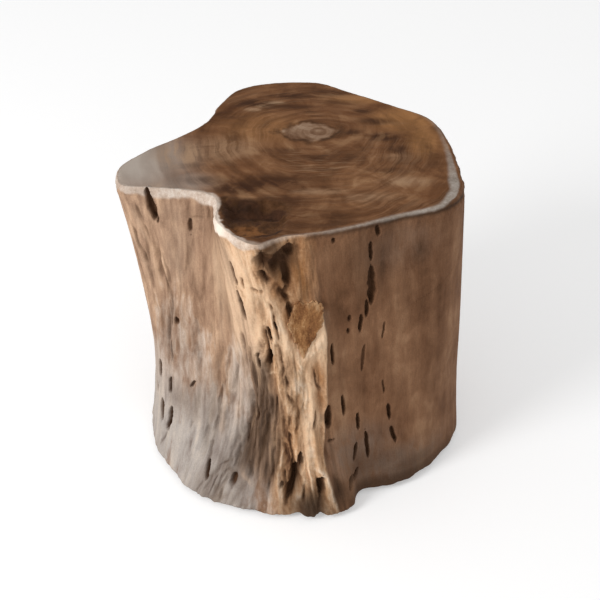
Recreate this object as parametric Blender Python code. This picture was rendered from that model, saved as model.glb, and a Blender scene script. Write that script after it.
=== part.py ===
"""A stool cut from one weathered log, with a flake of inner bark on its front and four nail-on glides.

Metres, +Z up. The origin is on the floor under the middle of the stool, and its front faces -Y.
"""

import math

import bmesh
import bpy
import numpy as np
from mathutils import Matrix, Vector

# The log
LOG_WIDTH = 0.472
LOG_DEPTH = 0.460
SEAT_HEIGHT = 0.427
RIM_EASE = 0.004
FOOT_EASE = 0.006
RELIEF_DEPTH = 0.012

# The hollow in the seat, behind the rim at the front
HOLLOW_WIDTH = 0.094
HOLLOW_LENGTH = 0.094
HOLLOW_DEPTH = 0.014

# The largest of the slits that worms and drying left in the wall
SLIT_LENGTH = 0.060
SLIT_WIDTH = 0.010
SLIT_DEPTH = 0.012

# The flake of inner bark
BARK_WIDTH = 0.040
BARK_HEIGHT = 0.095
BARK_SEAT = 0.004
BARK_PROUD = 0.003
BARK_EDGE = 0.0015

# The glides
CUP_DIAMETER = 0.038
CUP_WALL = 0.002
CUP_WEB = 0.0015
CUP_BEVEL = 0.0008
NAIL_DIAMETER = 0.0024
NAIL_LENGTH = 0.022
NAIL_TIP = 0.004
NAIL_HEAD_DIAMETER = 0.008
NAIL_HEAD = 0.001
FELT_THICKNESS = 0.0035
FELT_PROUD = 0.002
FELT_BEVEL = 0.0006

# Room between touching pieces, and how far a cutter runs past what it cuts
CLEARANCE = 0.0003
OVERRUN = 0.006

# Counts of faces, the angle from which an edge is sharp, and the steps that slopes and lengths are read over
COLUMNS = 144
WALL_ROWS = 14
EASE_ROWS = 3
TURNED_STEPS = 24
HOLLOW_STEPS = 36
BARK_STEPS = 32
SLIT_SIDES = 6
SLIT_RINGS = 6
SHARP_DEGREES = 40
FINE_STEPS = 1001
RIB_STEP = 0.05

# The log's outline at three heights, anticlockwise from the right, as shares of its width and depth.
# Row N of each table lies on the same line of growth, called rib N.
TOP_OUTLINE_SHARES = (
    (0.460, -0.048),
    (0.438, 0.137),
    (0.394, 0.272),
    (0.280, 0.361),
    (0.160, 0.440),
    (0.061, 0.500),
    (-0.087, 0.496),
    (-0.182, 0.452),
    (-0.231, 0.365),
    (-0.267, 0.257),
    (-0.341, 0.170),
    (-0.426, 0.093),
    (-0.500, -0.004),
    (-0.492, -0.102),
    (-0.415, -0.124),
    (-0.320, -0.135),
    (-0.233, -0.170),
    (-0.225, -0.280),
    (-0.161, -0.370),
    (-0.097, -0.402),
    (-0.034, -0.363),
    (0.051, -0.343),
    (0.167, -0.304),
    (0.284, -0.254),
    (0.390, -0.211),
    (0.449, -0.139),
)
WAIST_OUTLINE_SHARES = (
    (0.483, -0.048),
    (0.458, 0.143),
    (0.405, 0.280),
    (0.290, 0.370),
    (0.161, 0.441),
    (0.040, 0.480),
    (-0.102, 0.467),
    (-0.208, 0.415),
    (-0.273, 0.330),
    (-0.316, 0.230),
    (-0.373, 0.143),
    (-0.409, 0.065),
    (-0.427, -0.022),
    (-0.421, -0.113),
    (-0.398, -0.180),
    (-0.341, -0.235),
    (-0.250, -0.283),
    (-0.157, -0.335),
    (-0.108, -0.385),
    (-0.038, -0.413),
    (0.025, -0.400),
    (0.104, -0.370),
    (0.189, -0.326),
    (0.301, -0.287),
    (0.394, -0.235),
    (0.458, -0.148),
)
FOOT_OUTLINE_SHARES = (
    (0.500, -0.052),
    (0.479, 0.148),
    (0.422, 0.289),
    (0.305, 0.387),
    (0.167, 0.457),
    (0.030, 0.485),
    (-0.119, 0.470),
    (-0.235, 0.409),
    (-0.309, 0.322),
    (-0.362, 0.224),
    (-0.415, 0.137),
    (-0.447, 0.050),
    (-0.456, -0.026),
    (-0.447, -0.124),
    (-0.426, -0.211),
    (-0.373, -0.306),
    (-0.309, -0.396),
    (-0.225, -0.447),
    (-0.119, -0.478),
    (-0.023, -0.498),
    (0.072, -0.500),
    (0.157, -0.467),
    (0.203, -0.394),
    (0.316, -0.345),
    (0.396, -0.272),
    (0.472, -0.164),
)
WAIST_HEIGHT_SHARE = 0.38
FLARE_POWER = 1.4

# Valleys down the wall, and ridges where the last share is negative: rib at the seat and at the foot,
# lowest and highest place as shares of the height, half width in ribs, and depth as a share of RELIEF_DEPTH
RELIEF_SHARES = (
    (14.1, 15.0, 0.45, 1.05, 0.16, 0.35),
    (15.4, 16.2, 0.00, 0.80, 0.22, 0.35),
    (16.6, 16.7, 0.25, 1.10, 0.30, 0.40),
    (18.6, 16.9, -0.10, 0.60, 0.24, 0.55),
    (18.9, 18.3, 0.10, 0.90, 0.18, 0.45),
    (19.2, 18.9, -0.15, 0.50, 0.14, 0.50),
    (19.3, 19.2, -0.20, 0.35, 0.20, 0.80),
    (20.5, 20.0, -0.20, 0.22, 0.16, 0.70),
    (20.7, 20.9, 0.10, 0.75, 0.20, -0.35),
    (21.4, 21.5, 0.05, 1.00, 0.25, 0.25),
    (22.2, 22.0, -0.25, 0.22, 0.40, 0.50),
    (9.6, 9.4, -0.10, 1.10, 0.40, 0.50),
    (6.8, 6.6, -0.10, 0.80, 0.30, 0.40),
    (4.1, 4.3, -0.10, 0.60, 0.30, 0.35),
    (1.6, 1.5, -0.10, 0.50, 0.30, 0.30),
)

# Slits: rib and height share of the middle, then shares of SLIT_LENGTH, SLIT_WIDTH and SLIT_DEPTH, and
# the lean to the right as a share of the rise
SLIT_SHARES = (
    (1.60, 0.420, 0.60, 0.60, 0.80, 0.05),
    (2.90, 0.760, 0.75, 0.70, 0.80, 0.00),
    (4.40, 0.250, 0.70, 0.80, 0.90, -0.10),
    (5.60, 0.620, 0.90, 0.75, 0.90, 0.10),
    (7.40, 0.850, 0.50, 0.65, 0.80, 0.00),
    (9.30, 0.380, 0.85, 0.85, 0.90, 0.10),
    (11.20, 0.640, 0.60, 0.60, 0.80, -0.05),
    (14.15, 0.950, 0.80, 0.65, 0.80, -0.20),
    (15.35, 0.900, 0.30, 0.50, 0.50, 0.00),
    (14.95, 0.570, 0.20, 0.70, 0.60, 0.00),
    (13.90, 0.345, 0.55, 0.60, 0.60, 0.10),
    (14.55, 0.300, 0.50, 0.60, 0.70, 0.05),
    (14.05, 0.175, 0.65, 0.70, 0.80, 0.00),
    (14.60, 0.150, 0.95, 0.70, 0.90, 0.25),
    (16.30, 0.080, 0.40, 0.60, 0.70, -0.05),
    (17.15, 0.075, 0.20, 0.80, 0.80, -0.20),
    (17.55, 0.860, 0.50, 0.60, 0.40, -0.15),
    (17.70, 0.750, 0.70, 0.75, 0.90, -0.15),
    (17.80, 0.340, 0.45, 0.85, 0.90, 0.00),
    (18.15, 0.560, 0.40, 0.40, 0.60, -0.10),
    (18.60, 0.585, 0.40, 0.90, 1.00, 0.10),
    (18.75, 0.675, 0.40, 0.60, 0.80, -0.10),
    (19.10, 0.710, 0.25, 0.40, 0.50, -0.30),
    (19.15, 0.945, 0.40, 1.30, 1.30, 0.00),
    (19.10, 0.875, 0.30, 1.10, 0.90, 0.00),
    (19.65, 0.925, 0.45, 1.00, 1.20, 0.20),
    (20.10, 0.930, 0.55, 1.00, 1.30, 0.05),
    (20.00, 0.845, 0.40, 0.60, 0.80, 0.05),
    (19.75, 0.765, 0.75, 0.85, 0.90, -0.35),
    (19.30, 0.105, 0.85, 1.60, 1.80, 0.40),
    (19.60, 0.200, 0.25, 0.70, 0.80, 0.20),
    (20.25, 0.090, 0.45, 1.00, 1.10, 0.20),
    (20.80, 0.325, 0.70, 1.00, 1.10, 0.00),
    (21.10, 0.560, 0.55, 0.45, 0.70, 0.05),
    (21.40, 0.345, 0.60, 0.60, 0.80, -0.05),
    (21.40, 0.070, 0.30, 1.20, 1.20, 0.40),
    (21.75, 0.160, 0.45, 0.65, 0.80, 0.25),
    (21.85, 0.265, 0.50, 0.60, 0.80, -0.05),
    (22.10, 0.185, 0.50, 0.65, 0.80, -0.10),
    (22.00, 0.515, 0.70, 0.60, 0.50, 0.10),
    (21.95, 0.650, 0.45, 0.50, 0.70, 0.10),
    (22.25, 0.780, 1.00, 1.00, 1.10, 0.00),
    (22.25, 0.900, 0.45, 0.50, 0.70, 0.00),
    (22.65, 0.275, 0.45, 0.55, 0.80, -0.15),
    (22.80, 0.185, 0.45, 0.65, 0.80, -0.25),
)

# The hollow's middle and outline, as shares of the log's width and depth and of the hollow's own size
HOLLOW_PLACE_SHARE = (-0.118, -0.265)
HOLLOW_OUTLINE_SHARES = (
    (0.50, 0.09),
    (0.43, 0.33),
    (0.20, 0.46),
    (-0.02, 0.42),
    (-0.40, 0.50),
    (-0.43, 0.20),
    (-0.36, -0.14),
    (-0.20, -0.42),
    (0.12, -0.46),
    (0.40, -0.30),
)

# The bowl of the hollow, from just above the seat down: shares of its outline and of its depth
HOLLOW_SECTION_SHARES = (
    (1.12, -0.45),
    (0.88, 0.45),
    (0.70, 0.80),
    (0.40, 1.00),
)

# The bark's middle on the wall, and its outline as shares of its width and height
BARK_RIB = 20.55
BARK_HEIGHT_SHARE = 0.705
BARK_OUTLINE_SHARES = (
    (0.48, 0.28),
    (0.42, 0.45),
    (0.05, 0.47),
    (-0.36, 0.50),
    (-0.47, 0.22),
    (-0.42, -0.20),
    (-0.36, -0.48),
    (-0.12, -0.38),
    (0.14, -0.22),
    (0.32, -0.06),
    (0.42, 0.12),
)

# Rings of the bark from its middle out, as shares of its outline, and how far each stands proud of the
# wall, as a share of BARK_PROUD
BARK_RING_SHARES = (
    (0.12, 0.90),
    (0.45, 1.00),
    (0.80, 0.85),
)
NAIL_POINT_SHARE = 0.25

# The glides' places under the foot, as shares of the log's width and depth
GLIDE_PLACE_SHARES = {
    "front_left": (-0.24, -0.26),
    "front_right": (0.27, -0.22),
    "rear_right": (0.27, 0.25),
    "rear_left": (-0.20, 0.25),
}

# Heights that follow from the sizes above
HEAD_BASE = FELT_THICKNESS + CLEARANCE
WEB_BASE = HEAD_BASE + NAIL_HEAD + CLEARANCE
CUP_TOP = WEB_BASE + CUP_WEB
LOG_BASE = CUP_TOP + CLEARANCE
LOG_HEIGHT = SEAT_HEIGHT - LOG_BASE

# Colour, roughness and metallic value of each material
FINISHES = {
    "weathered_wood": ((0.42, 0.27, 0.17), 0.72, 0.0),
    "inner_bark": ((0.45, 0.24, 0.08), 0.80, 0.0),
    "nylon": ((0.16, 0.11, 0.07), 0.45, 0.0),
    "steel": ((0.60, 0.60, 0.60), 0.35, 1.0),
    "felt": ((0.20, 0.15, 0.11), 0.95, 0.0),
}


def closed_curve(table, places):
    """Points on a smooth closed curve through the table's rows, at places counted in rows."""
    rows = np.asarray(table, float)
    whole = np.floor(places).astype(int)
    part = (places - whole)[..., None]
    before, start, end, after = (rows[(whole + step) % len(rows)] for step in (-1, 0, 1, 2))
    bend = 2 * before - 5 * start + 4 * end - after
    twist = 3 * (start - end) + after - before
    return start + part * (end - before + part * (bend + part * twist)) / 2


def plain_wall(ribs, heights):
    """Points in metres on the wall without its relief, at rib places and shares of the log's height."""
    ribs, heights = np.broadcast_arrays(np.asarray(ribs, float), np.asarray(heights, float))
    foot = closed_curve(FOOT_OUTLINE_SHARES, ribs)
    waist = closed_curve(WAIST_OUTLINE_SHARES, ribs)
    top = closed_curve(TOP_OUTLINE_SHARES, ribs)
    below = np.clip(1 - heights / WAIST_HEIGHT_SHARE, 0, 1)[..., None] ** 2
    above = np.clip((heights - WAIST_HEIGHT_SHARE) / (1 - WAIST_HEIGHT_SHARE), 0, 1)[..., None] ** FLARE_POWER
    plan = waist + (foot - waist) * below + (top - waist) * above
    across, deep = plan[..., 0] * LOG_WIDTH, plan[..., 1] * LOG_DEPTH
    return np.stack((across, deep, LOG_BASE + heights * LOG_HEIGHT), axis=-1)


def outward(ribs, heights):
    """Level unit vectors that point away from the log, square to its wall."""
    along = plain_wall(ribs + RIB_STEP, heights) - plain_wall(ribs - RIB_STEP, heights)
    out = np.stack((along[..., 1], -along[..., 0], np.zeros_like(along[..., 0])), axis=-1)
    return out / np.linalg.norm(out, axis=-1, keepdims=True)


def relief_depth(ribs, heights):
    """How far the valleys take the wall in, less what the ridges add."""
    depth = np.zeros(np.broadcast(ribs, heights).shape)
    count = len(TOP_OUTLINE_SHARES)
    for at_seat, at_foot, low, high, half_width, share in RELIEF_SHARES:
        middle = at_foot + (at_seat - at_foot) * heights
        apart = (ribs - middle + count / 2) % count - count / 2
        way = np.clip((heights - low) / (high - low), 0, 1)
        depth += share * RELIEF_DEPTH * np.exp(-((apart / half_width) ** 2)) * np.sin(np.pi * way) ** 2
    return depth


def wall(ribs, heights, inset=0.0):
    """Points on the log's wall with its valleys and ridges, taken in by inset as well."""
    ribs, heights = np.broadcast_arrays(np.asarray(ribs, float), np.asarray(heights, float))
    taken = relief_depth(ribs, heights) + inset
    return plain_wall(ribs, heights) - outward(ribs, heights) * taken[..., None]


def even_ribs(count):
    """Rib places that step evenly round the log's top."""
    fine = np.linspace(0, len(TOP_OUTLINE_SHARES), FINE_STEPS)
    steps = np.linalg.norm(np.diff(plain_wall(fine, 1.0), axis=0), axis=1)
    travelled = np.concatenate(([0.0], np.cumsum(steps)))
    return np.interp(np.linspace(0, travelled[-1], count, endpoint=False), travelled, fine)


def material(name, finish):
    colour, roughness, metallic = FINISHES[finish]
    made = bpy.data.materials.new(name)
    made.use_nodes = True
    made.diffuse_color = (*colour, 1)
    shader = made.node_tree.nodes["Principled BSDF"]
    shader.inputs["Base Color"].default_value = (*colour, 1)
    shader.inputs["Roughness"].default_value = roughness
    shader.inputs["Metallic"].default_value = metallic
    return made


def finished_mesh(shape, name, finish=None):
    """The mesh of a bmesh, with its normals out, its round faces shaded smooth and its flat ends flat."""
    bmesh.ops.recalc_face_normals(shape, faces=shape.faces)
    for face in shape.faces:
        face.smooth = len(face.verts) <= 4
    mesh = bpy.data.meshes.new(name)
    shape.to_mesh(mesh)
    shape.free()
    mesh.set_sharp_from_angle(angle=math.radians(SHARP_DEGREES))
    if finish:
        mesh.materials.append(material(name, finish))
    return mesh


def placed(name, mesh, parent=None, place=(0, 0, 0)):
    """A new object in the scene; without a mesh it is an empty."""
    made = bpy.data.objects.new(name, mesh)
    made.parent = parent
    made.location = place
    bpy.context.scene.collection.objects.link(made)
    return made


def placed_cutter(cutters, mesh, name, parent, place=(0, 0, 0)):
    """A new object that only takes material away, kept with the others of its collection."""
    made = bpy.data.objects.new(name, mesh)
    made.parent = parent
    made.location = place
    made.hide_render = True
    made.display_type = "WIRE"
    cutters.objects.link(made)


def loft(shape, rings, ring_shaped=False):
    """Skins rings of equal count, closed by flat ends or, for a ring-shaped piece, back to the first."""
    loops = [[shape.verts.new(point) for point in ring] for ring in rings]
    joined = loops[1:] + loops[:1] if ring_shaped else loops[1:]
    for lower, upper in zip(loops, joined):
        for i, vert in enumerate(lower):
            shape.faces.new((lower[i - 1], vert, upper[i], upper[i - 1]))
    if not ring_shaped:
        shape.faces.new(loops[0])
        shape.faces.new(loops[-1])


def lofted(name, rings, finish=None, ring_shaped=False):
    shape = bmesh.new()
    loft(shape, rings, ring_shaped)
    return finished_mesh(shape, name, finish)


def circle(radius, height):
    turns = np.arange(TURNED_STEPS) * math.tau / TURNED_STEPS
    return np.stack((radius * np.cos(turns), radius * np.sin(turns), np.full(TURNED_STEPS, height)), axis=-1)


def turned(name, profile, finish=None, ring_shaped=False):
    """A piece turned round Z, from the radii and heights of its profile."""
    return lofted(name, [circle(radius, height) for radius, height in profile], finish, ring_shaped)


def log_mesh():
    """The log before anything is cut: its wall with the foot and the rim rounded, and two flat ends."""
    ribs = even_ribs(COLUMNS)
    turns = np.linspace(0, math.pi / 2, EASE_ROWS + 1)
    foot = [(FOOT_EASE * (1 - math.cos(turn)), FOOT_EASE * (1 - math.sin(turn))) for turn in turns]
    rim = [
        (LOG_HEIGHT - RIM_EASE * (1 - math.cos(turn)), RIM_EASE * (1 - math.sin(turn)))
        for turn in reversed(turns)
    ]
    plain = np.linspace(FOOT_EASE, LOG_HEIGHT - RIM_EASE, WALL_ROWS + 1)[1:-1]
    rows = foot + [(height, 0) for height in plain] + rim
    rings = [wall(ribs, height / LOG_HEIGHT, inset) for height, inset in rows]
    return lofted("trunk", rings, "weathered_wood")


def wall_axes(rib, height_share, lean):
    """A point of the wall, and unit vectors along it, up it by the lean, and out of it."""
    up_step = RIB_STEP / len(TOP_OUTLINE_SHARES)
    along = wall(rib + RIB_STEP, height_share) - wall(rib - RIB_STEP, height_share)
    rise = wall(rib, height_share + up_step) - wall(rib, height_share - up_step)
    out = Vector(np.cross(along, rise)).normalized()
    turn = Matrix.Rotation(-math.atan(lean), 3, out)
    across = turn @ Vector(along).normalized()
    return Vector(wall(rib, height_share)), across, out.cross(across), out


def slit_cutter():
    """Long pointed blobs, half of each inside the wall."""
    shape = bmesh.new()
    for rib, height_share, length, width, depth, lean in SLIT_SHARES:
        point, across, up, out = wall_axes(rib, height_share, lean)
        sides = (across * width * SLIT_WIDTH / 2, out * depth * SLIT_DEPTH, up * length * SLIT_LENGTH / 2)
        matrix = Matrix.Translation(point) @ Matrix(sides).transposed().to_4x4()
        bmesh.ops.create_uvsphere(
            shape, u_segments=SLIT_SIDES, v_segments=SLIT_RINGS, radius=1, matrix=matrix
        )
    return finished_mesh(shape, "slit_cutter")


def hollow_cutter():
    """A shallow bowl with an uneven outline, open above the seat."""
    places = np.arange(HOLLOW_STEPS) * len(HOLLOW_OUTLINE_SHARES) / HOLLOW_STEPS
    outline = closed_curve(HOLLOW_OUTLINE_SHARES, places) * (HOLLOW_WIDTH, HOLLOW_LENGTH)
    middle = np.array(HOLLOW_PLACE_SHARE) * (LOG_WIDTH, LOG_DEPTH)
    rings = []
    for size_share, depth_share in HOLLOW_SECTION_SHARES:
        height = np.full((HOLLOW_STEPS, 1), SEAT_HEIGHT - depth_share * HOLLOW_DEPTH)
        rings.append(np.hstack((middle + size_share * outline, height)))
    return lofted("hollow_cutter", rings)


def bark_ring(size_share, depth, grow=0.0):
    """A ring of the bark's outline at this depth under the wall, widened all round by grow."""
    places = np.arange(BARK_STEPS) * len(BARK_OUTLINE_SHARES) / BARK_STEPS
    flat = closed_curve(BARK_OUTLINE_SHARES, places) * (BARK_WIDTH, BARK_HEIGHT) * size_share
    flat += grow * flat / np.linalg.norm(flat, axis=1, keepdims=True)
    step = wall(BARK_RIB + RIB_STEP, BARK_HEIGHT_SHARE) - wall(BARK_RIB - RIB_STEP, BARK_HEIGHT_SHARE)
    ribs = BARK_RIB + flat[:, 0] * 2 * RIB_STEP / np.linalg.norm(step)
    return wall(ribs, BARK_HEIGHT_SHARE + flat[:, 1] / LOG_HEIGHT, depth)


def bark_mesh():
    back = [bark_ring(share, BARK_SEAT) for share, _ in BARK_RING_SHARES]
    edge = [bark_ring(1, BARK_SEAT), bark_ring(1, -BARK_EDGE)]
    face = [bark_ring(share, -proud * BARK_PROUD) for share, proud in reversed(BARK_RING_SHARES)]
    return lofted("bark_remnant", back + edge + face, "inner_bark")


def bark_pocket_cutter():
    floor = BARK_SEAT + CLEARANCE
    back = [bark_ring(share, floor) for share, _ in BARK_RING_SHARES]
    edge = [bark_ring(1, floor, CLEARANCE), bark_ring(1, -OVERRUN, CLEARANCE)]
    face = [bark_ring(share, -OVERRUN) for share, _ in reversed(BARK_RING_SHARES)]
    return lofted("bark_pocket_cutter", back + edge + face)


def nail_hole_cutter():
    radius = NAIL_DIAMETER / 2 + CLEARANCE
    top = HEAD_BASE + NAIL_HEAD + NAIL_LENGTH
    profile = [
        (radius, LOG_BASE - OVERRUN),
        (radius, top - NAIL_TIP + CLEARANCE),
        (NAIL_POINT_SHARE * NAIL_DIAMETER / 2 + CLEARANCE, top + CLEARANCE),
    ]
    return turned("nail_hole_cutter", profile)


def cup_mesh():
    outer = CUP_DIAMETER / 2
    recess = outer - CUP_WALL
    hole = NAIL_DIAMETER / 2 + CLEARANCE
    profile = [
        (hole, CUP_TOP),
        (outer, CUP_TOP),
        (outer, FELT_PROUD + CUP_BEVEL),
        (outer - CUP_BEVEL, FELT_PROUD),
        (recess, FELT_PROUD),
        (recess, WEB_BASE),
        (hole, WEB_BASE),
    ]
    return turned("glide_cup", profile, "nylon", ring_shaped=True)


def nail_mesh():
    radius = NAIL_DIAMETER / 2
    head = HEAD_BASE + NAIL_HEAD
    profile = [
        (NAIL_HEAD_DIAMETER / 2, HEAD_BASE),
        (NAIL_HEAD_DIAMETER / 2, head),
        (radius, head),
        (radius, head + NAIL_LENGTH - NAIL_TIP),
        (NAIL_POINT_SHARE * radius, head + NAIL_LENGTH),
    ]
    return turned("glide_nail", profile, "steel")


def felt_mesh():
    radius = CUP_DIAMETER / 2 - CUP_WALL - CLEARANCE
    profile = [
        (radius - FELT_BEVEL, 0),
        (radius, FELT_BEVEL),
        (radius, FELT_THICKNESS),
    ]
    return turned("glide_felt", profile, "felt")


def cut(piece, cutters):
    """Takes all the cutters of a collection away from the piece at once."""
    modifier = piece.modifiers.new(cutters.name, "BOOLEAN")
    modifier.operand_type = "COLLECTION"
    modifier.collection = cutters
    modifier.operation = "DIFFERENCE"
    modifier.solver = "EXACT"
    modifier.use_self = True


def main():
    for old in list(bpy.data.objects):
        bpy.data.objects.remove(old)
    stool = placed("stool", None)
    trunk = placed("trunk", log_mesh(), stool)
    placed("bark_remnant", bark_mesh(), stool)
    cutters = bpy.data.collections.new("trunk_cutters")
    bpy.context.scene.collection.children.link(cutters)
    for make in (bark_pocket_cutter, hollow_cutter, slit_cutter):
        mesh = make()
        placed_cutter(cutters, mesh, mesh.name, stool)
    meshes = {"cup": cup_mesh(), "nail": nail_mesh(), "felt": felt_mesh()}
    hole = nail_hole_cutter()
    for corner, (across_share, deep_share) in GLIDE_PLACE_SHARES.items():
        glide = placed(f"glide_{corner}", None, stool, (across_share * LOG_WIDTH, deep_share * LOG_DEPTH, 0))
        for piece, mesh in meshes.items():
            placed(f"glide_{piece}_{corner}", mesh, glide)
        placed_cutter(cutters, hole, f"nail_hole_{corner}", glide)
    cut(trunk, cutters)


main()
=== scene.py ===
"""The looks of a stool cut from one weathered log: its wall, sawn seat, bark flake and glides, in metres."""

import math

import bmesh
import bpy
import numpy as np
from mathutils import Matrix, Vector


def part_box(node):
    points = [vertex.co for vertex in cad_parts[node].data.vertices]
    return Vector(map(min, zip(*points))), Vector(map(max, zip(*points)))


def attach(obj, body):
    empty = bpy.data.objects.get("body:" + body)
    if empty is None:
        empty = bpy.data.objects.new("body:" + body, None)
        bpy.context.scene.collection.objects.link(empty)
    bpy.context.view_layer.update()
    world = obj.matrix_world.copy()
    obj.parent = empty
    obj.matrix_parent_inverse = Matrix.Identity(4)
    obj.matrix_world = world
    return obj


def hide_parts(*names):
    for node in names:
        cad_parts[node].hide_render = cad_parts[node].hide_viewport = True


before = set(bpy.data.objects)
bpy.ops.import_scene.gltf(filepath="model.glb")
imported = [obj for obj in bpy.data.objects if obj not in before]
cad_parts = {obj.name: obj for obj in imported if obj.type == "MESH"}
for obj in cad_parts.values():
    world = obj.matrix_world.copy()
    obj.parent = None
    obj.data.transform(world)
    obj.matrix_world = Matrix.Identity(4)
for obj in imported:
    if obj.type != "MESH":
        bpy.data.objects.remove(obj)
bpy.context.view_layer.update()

MM = 0.001
PERCENT = 0.01

# The log's sizes, as in the CAD source
LOG_WIDTH = 0.472
LOG_DEPTH = 0.460
LOG_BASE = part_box("trunk")[0].z
SEAT_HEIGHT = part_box("trunk")[1].z
LOG_HEIGHT = SEAT_HEIGHT - LOG_BASE
RELIEF_DEPTH = 0.012
FOOT_EASE = 0.006
HOLLOW_SIZE = (0.094, 0.094)
HOLLOW_DEPTH = 0.014

# Counts of the mesh's columns, rows and rings, and of the steps that its columns are spaced out by
COLUMNS = 960
WALL_ROWS = 300
EASE_ROWS = 8
SEAT_RINGS = 96
SEAT_COARSE_RINGS = 22
FOOT_RINGS = 14
BARK_COLUMNS = 240
BARK_RINGS = 34
FINE_STEPS = 2001

# How many ribs to each side the wall's direction is measured over
RIB_STEP = 0.05

# The seat's rings: the middle that they close on, and how large the first coarse ring, the last one and the
# foot's last one are, as shares of the outline
SEAT_MIDDLE = (0.0, 0.02)
COARSE_SHARE = 0.40
LAST_SHARE = 0.012
FOOT_LAST_SHARE = 0.05

# How far from its ends a groove or strand reaches its full size, and how many half widths away it ends
STROKE_FADE = 0.012
STROKE_REACH = 3

# The log's outline at three heights, anticlockwise from the right, as shares of its width and depth
TOP_OUTLINE_SHARES = (
    (0.46, -0.048), (0.438, 0.137), (0.394, 0.272), (0.28, 0.361), (0.16, 0.44), (0.061, 0.5),
    (-0.087, 0.496), (-0.182, 0.452), (-0.231, 0.365), (-0.267, 0.257), (-0.341, 0.17), (-0.426, 0.093),
    (-0.5, -0.004), (-0.492, -0.102), (-0.415, -0.124), (-0.32, -0.135), (-0.233, -0.17), (-0.225, -0.28),
    (-0.161, -0.37), (-0.097, -0.402), (-0.034, -0.363), (0.051, -0.343), (0.167, -0.304),
    (0.284, -0.254), (0.39, -0.211), (0.449, -0.139),
)
WAIST_OUTLINE_SHARES = (
    (0.483, -0.048), (0.458, 0.143), (0.405, 0.28), (0.29, 0.37), (0.161, 0.441), (0.04, 0.48),
    (-0.102, 0.467), (-0.208, 0.415), (-0.273, 0.33), (-0.316, 0.23), (-0.373, 0.143), (-0.409, 0.065),
    (-0.427, -0.022), (-0.421, -0.113), (-0.398, -0.18), (-0.341, -0.235), (-0.25, -0.283),
    (-0.157, -0.335), (-0.108, -0.385), (-0.038, -0.413), (0.025, -0.4), (0.104, -0.37), (0.189, -0.326),
    (0.301, -0.287), (0.394, -0.235), (0.458, -0.148),
)
FOOT_OUTLINE_SHARES = (
    (0.5, -0.052), (0.479, 0.148), (0.422, 0.289), (0.305, 0.387), (0.167, 0.457), (0.03, 0.485),
    (-0.119, 0.47), (-0.235, 0.409), (-0.309, 0.322), (-0.362, 0.224), (-0.415, 0.137), (-0.447, 0.05),
    (-0.456, -0.026), (-0.447, -0.124), (-0.426, -0.211), (-0.373, -0.306), (-0.309, -0.396),
    (-0.225, -0.447), (-0.119, -0.478), (-0.023, -0.498), (0.072, -0.5), (0.157, -0.467), (0.203, -0.394),
    (0.316, -0.345), (0.396, -0.272), (0.472, -0.164),
)
RIBS = len(TOP_OUTLINE_SHARES)
WAIST_HEIGHT_SHARE = 0.38
FLARE_POWER = 1.4

# Valleys down the wall, and ridges where the last share is negative, as in the CAD source: rib at the seat
# and at the foot, lowest and highest place, half width in ribs, and depth as a share of RELIEF_DEPTH
RELIEF_SHARES = (
    (14.1, 15, 0.45, 1.05, 0.16, 0.35), (15.4, 16.2, 0, 0.8, 0.22, 0.35),
    (16.6, 16.7, 0.25, 1.1, 0.3, 0.4), (18.6, 16.9, -0.1, 0.6, 0.24, 0.55),
    (18.9, 18.3, 0.1, 0.9, 0.18, 0.45), (19.2, 18.9, -0.15, 0.5, 0.14, 0.5),
    (19.3, 19.2, -0.2, 0.35, 0.2, 0.8), (20.5, 20, -0.2, 0.22, 0.16, 0.7),
    (20.7, 20.9, 0.1, 0.75, 0.2, -0.35), (21.4, 21.5, 0.05, 1, 0.25, 0.25),
    (22.2, 22, -0.25, 0.22, 0.4, 0.5), (9.6, 9.4, -0.1, 1.1, 0.4, 0.5), (6.8, 6.6, -0.1, 0.8, 0.3, 0.4),
    (4.1, 4.3, -0.1, 0.6, 0.3, 0.35), (1.6, 1.5, -0.1, 0.5, 0.3, 0.3),
)

# Root strands and flakes that are finer than the CAD model's relief, in the same form
FINE_RELIEF_SHARES = (
    (18.5, 18.45, -0.1, 0.5, 0.07, -0.2), (18.9, 18.75, -0.1, 0.42, 0.05, 0.25),
    (19.6, 19.55, -0.1, 0.45, 0.09, -0.25), (19.9, 19.85, -0.15, 0.35, 0.05, 0.3),
    (20.2, 20.3, -0.1, 0.6, 0.09, -0.3), (20.5, 20.62, 0.02, 0.7, 0.06, 0.25),
    (17.5, 17.3, 0.05, 0.95, 0.07, 0.22), (17.1, 16.6, -0.1, 0.8, 0.06, 0.2),
    (15.9, 15.6, -0.1, 0.9, 0.07, 0.18), (14.7, 14.5, -0.1, 0.9, 0.06, 0.15),
)

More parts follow.
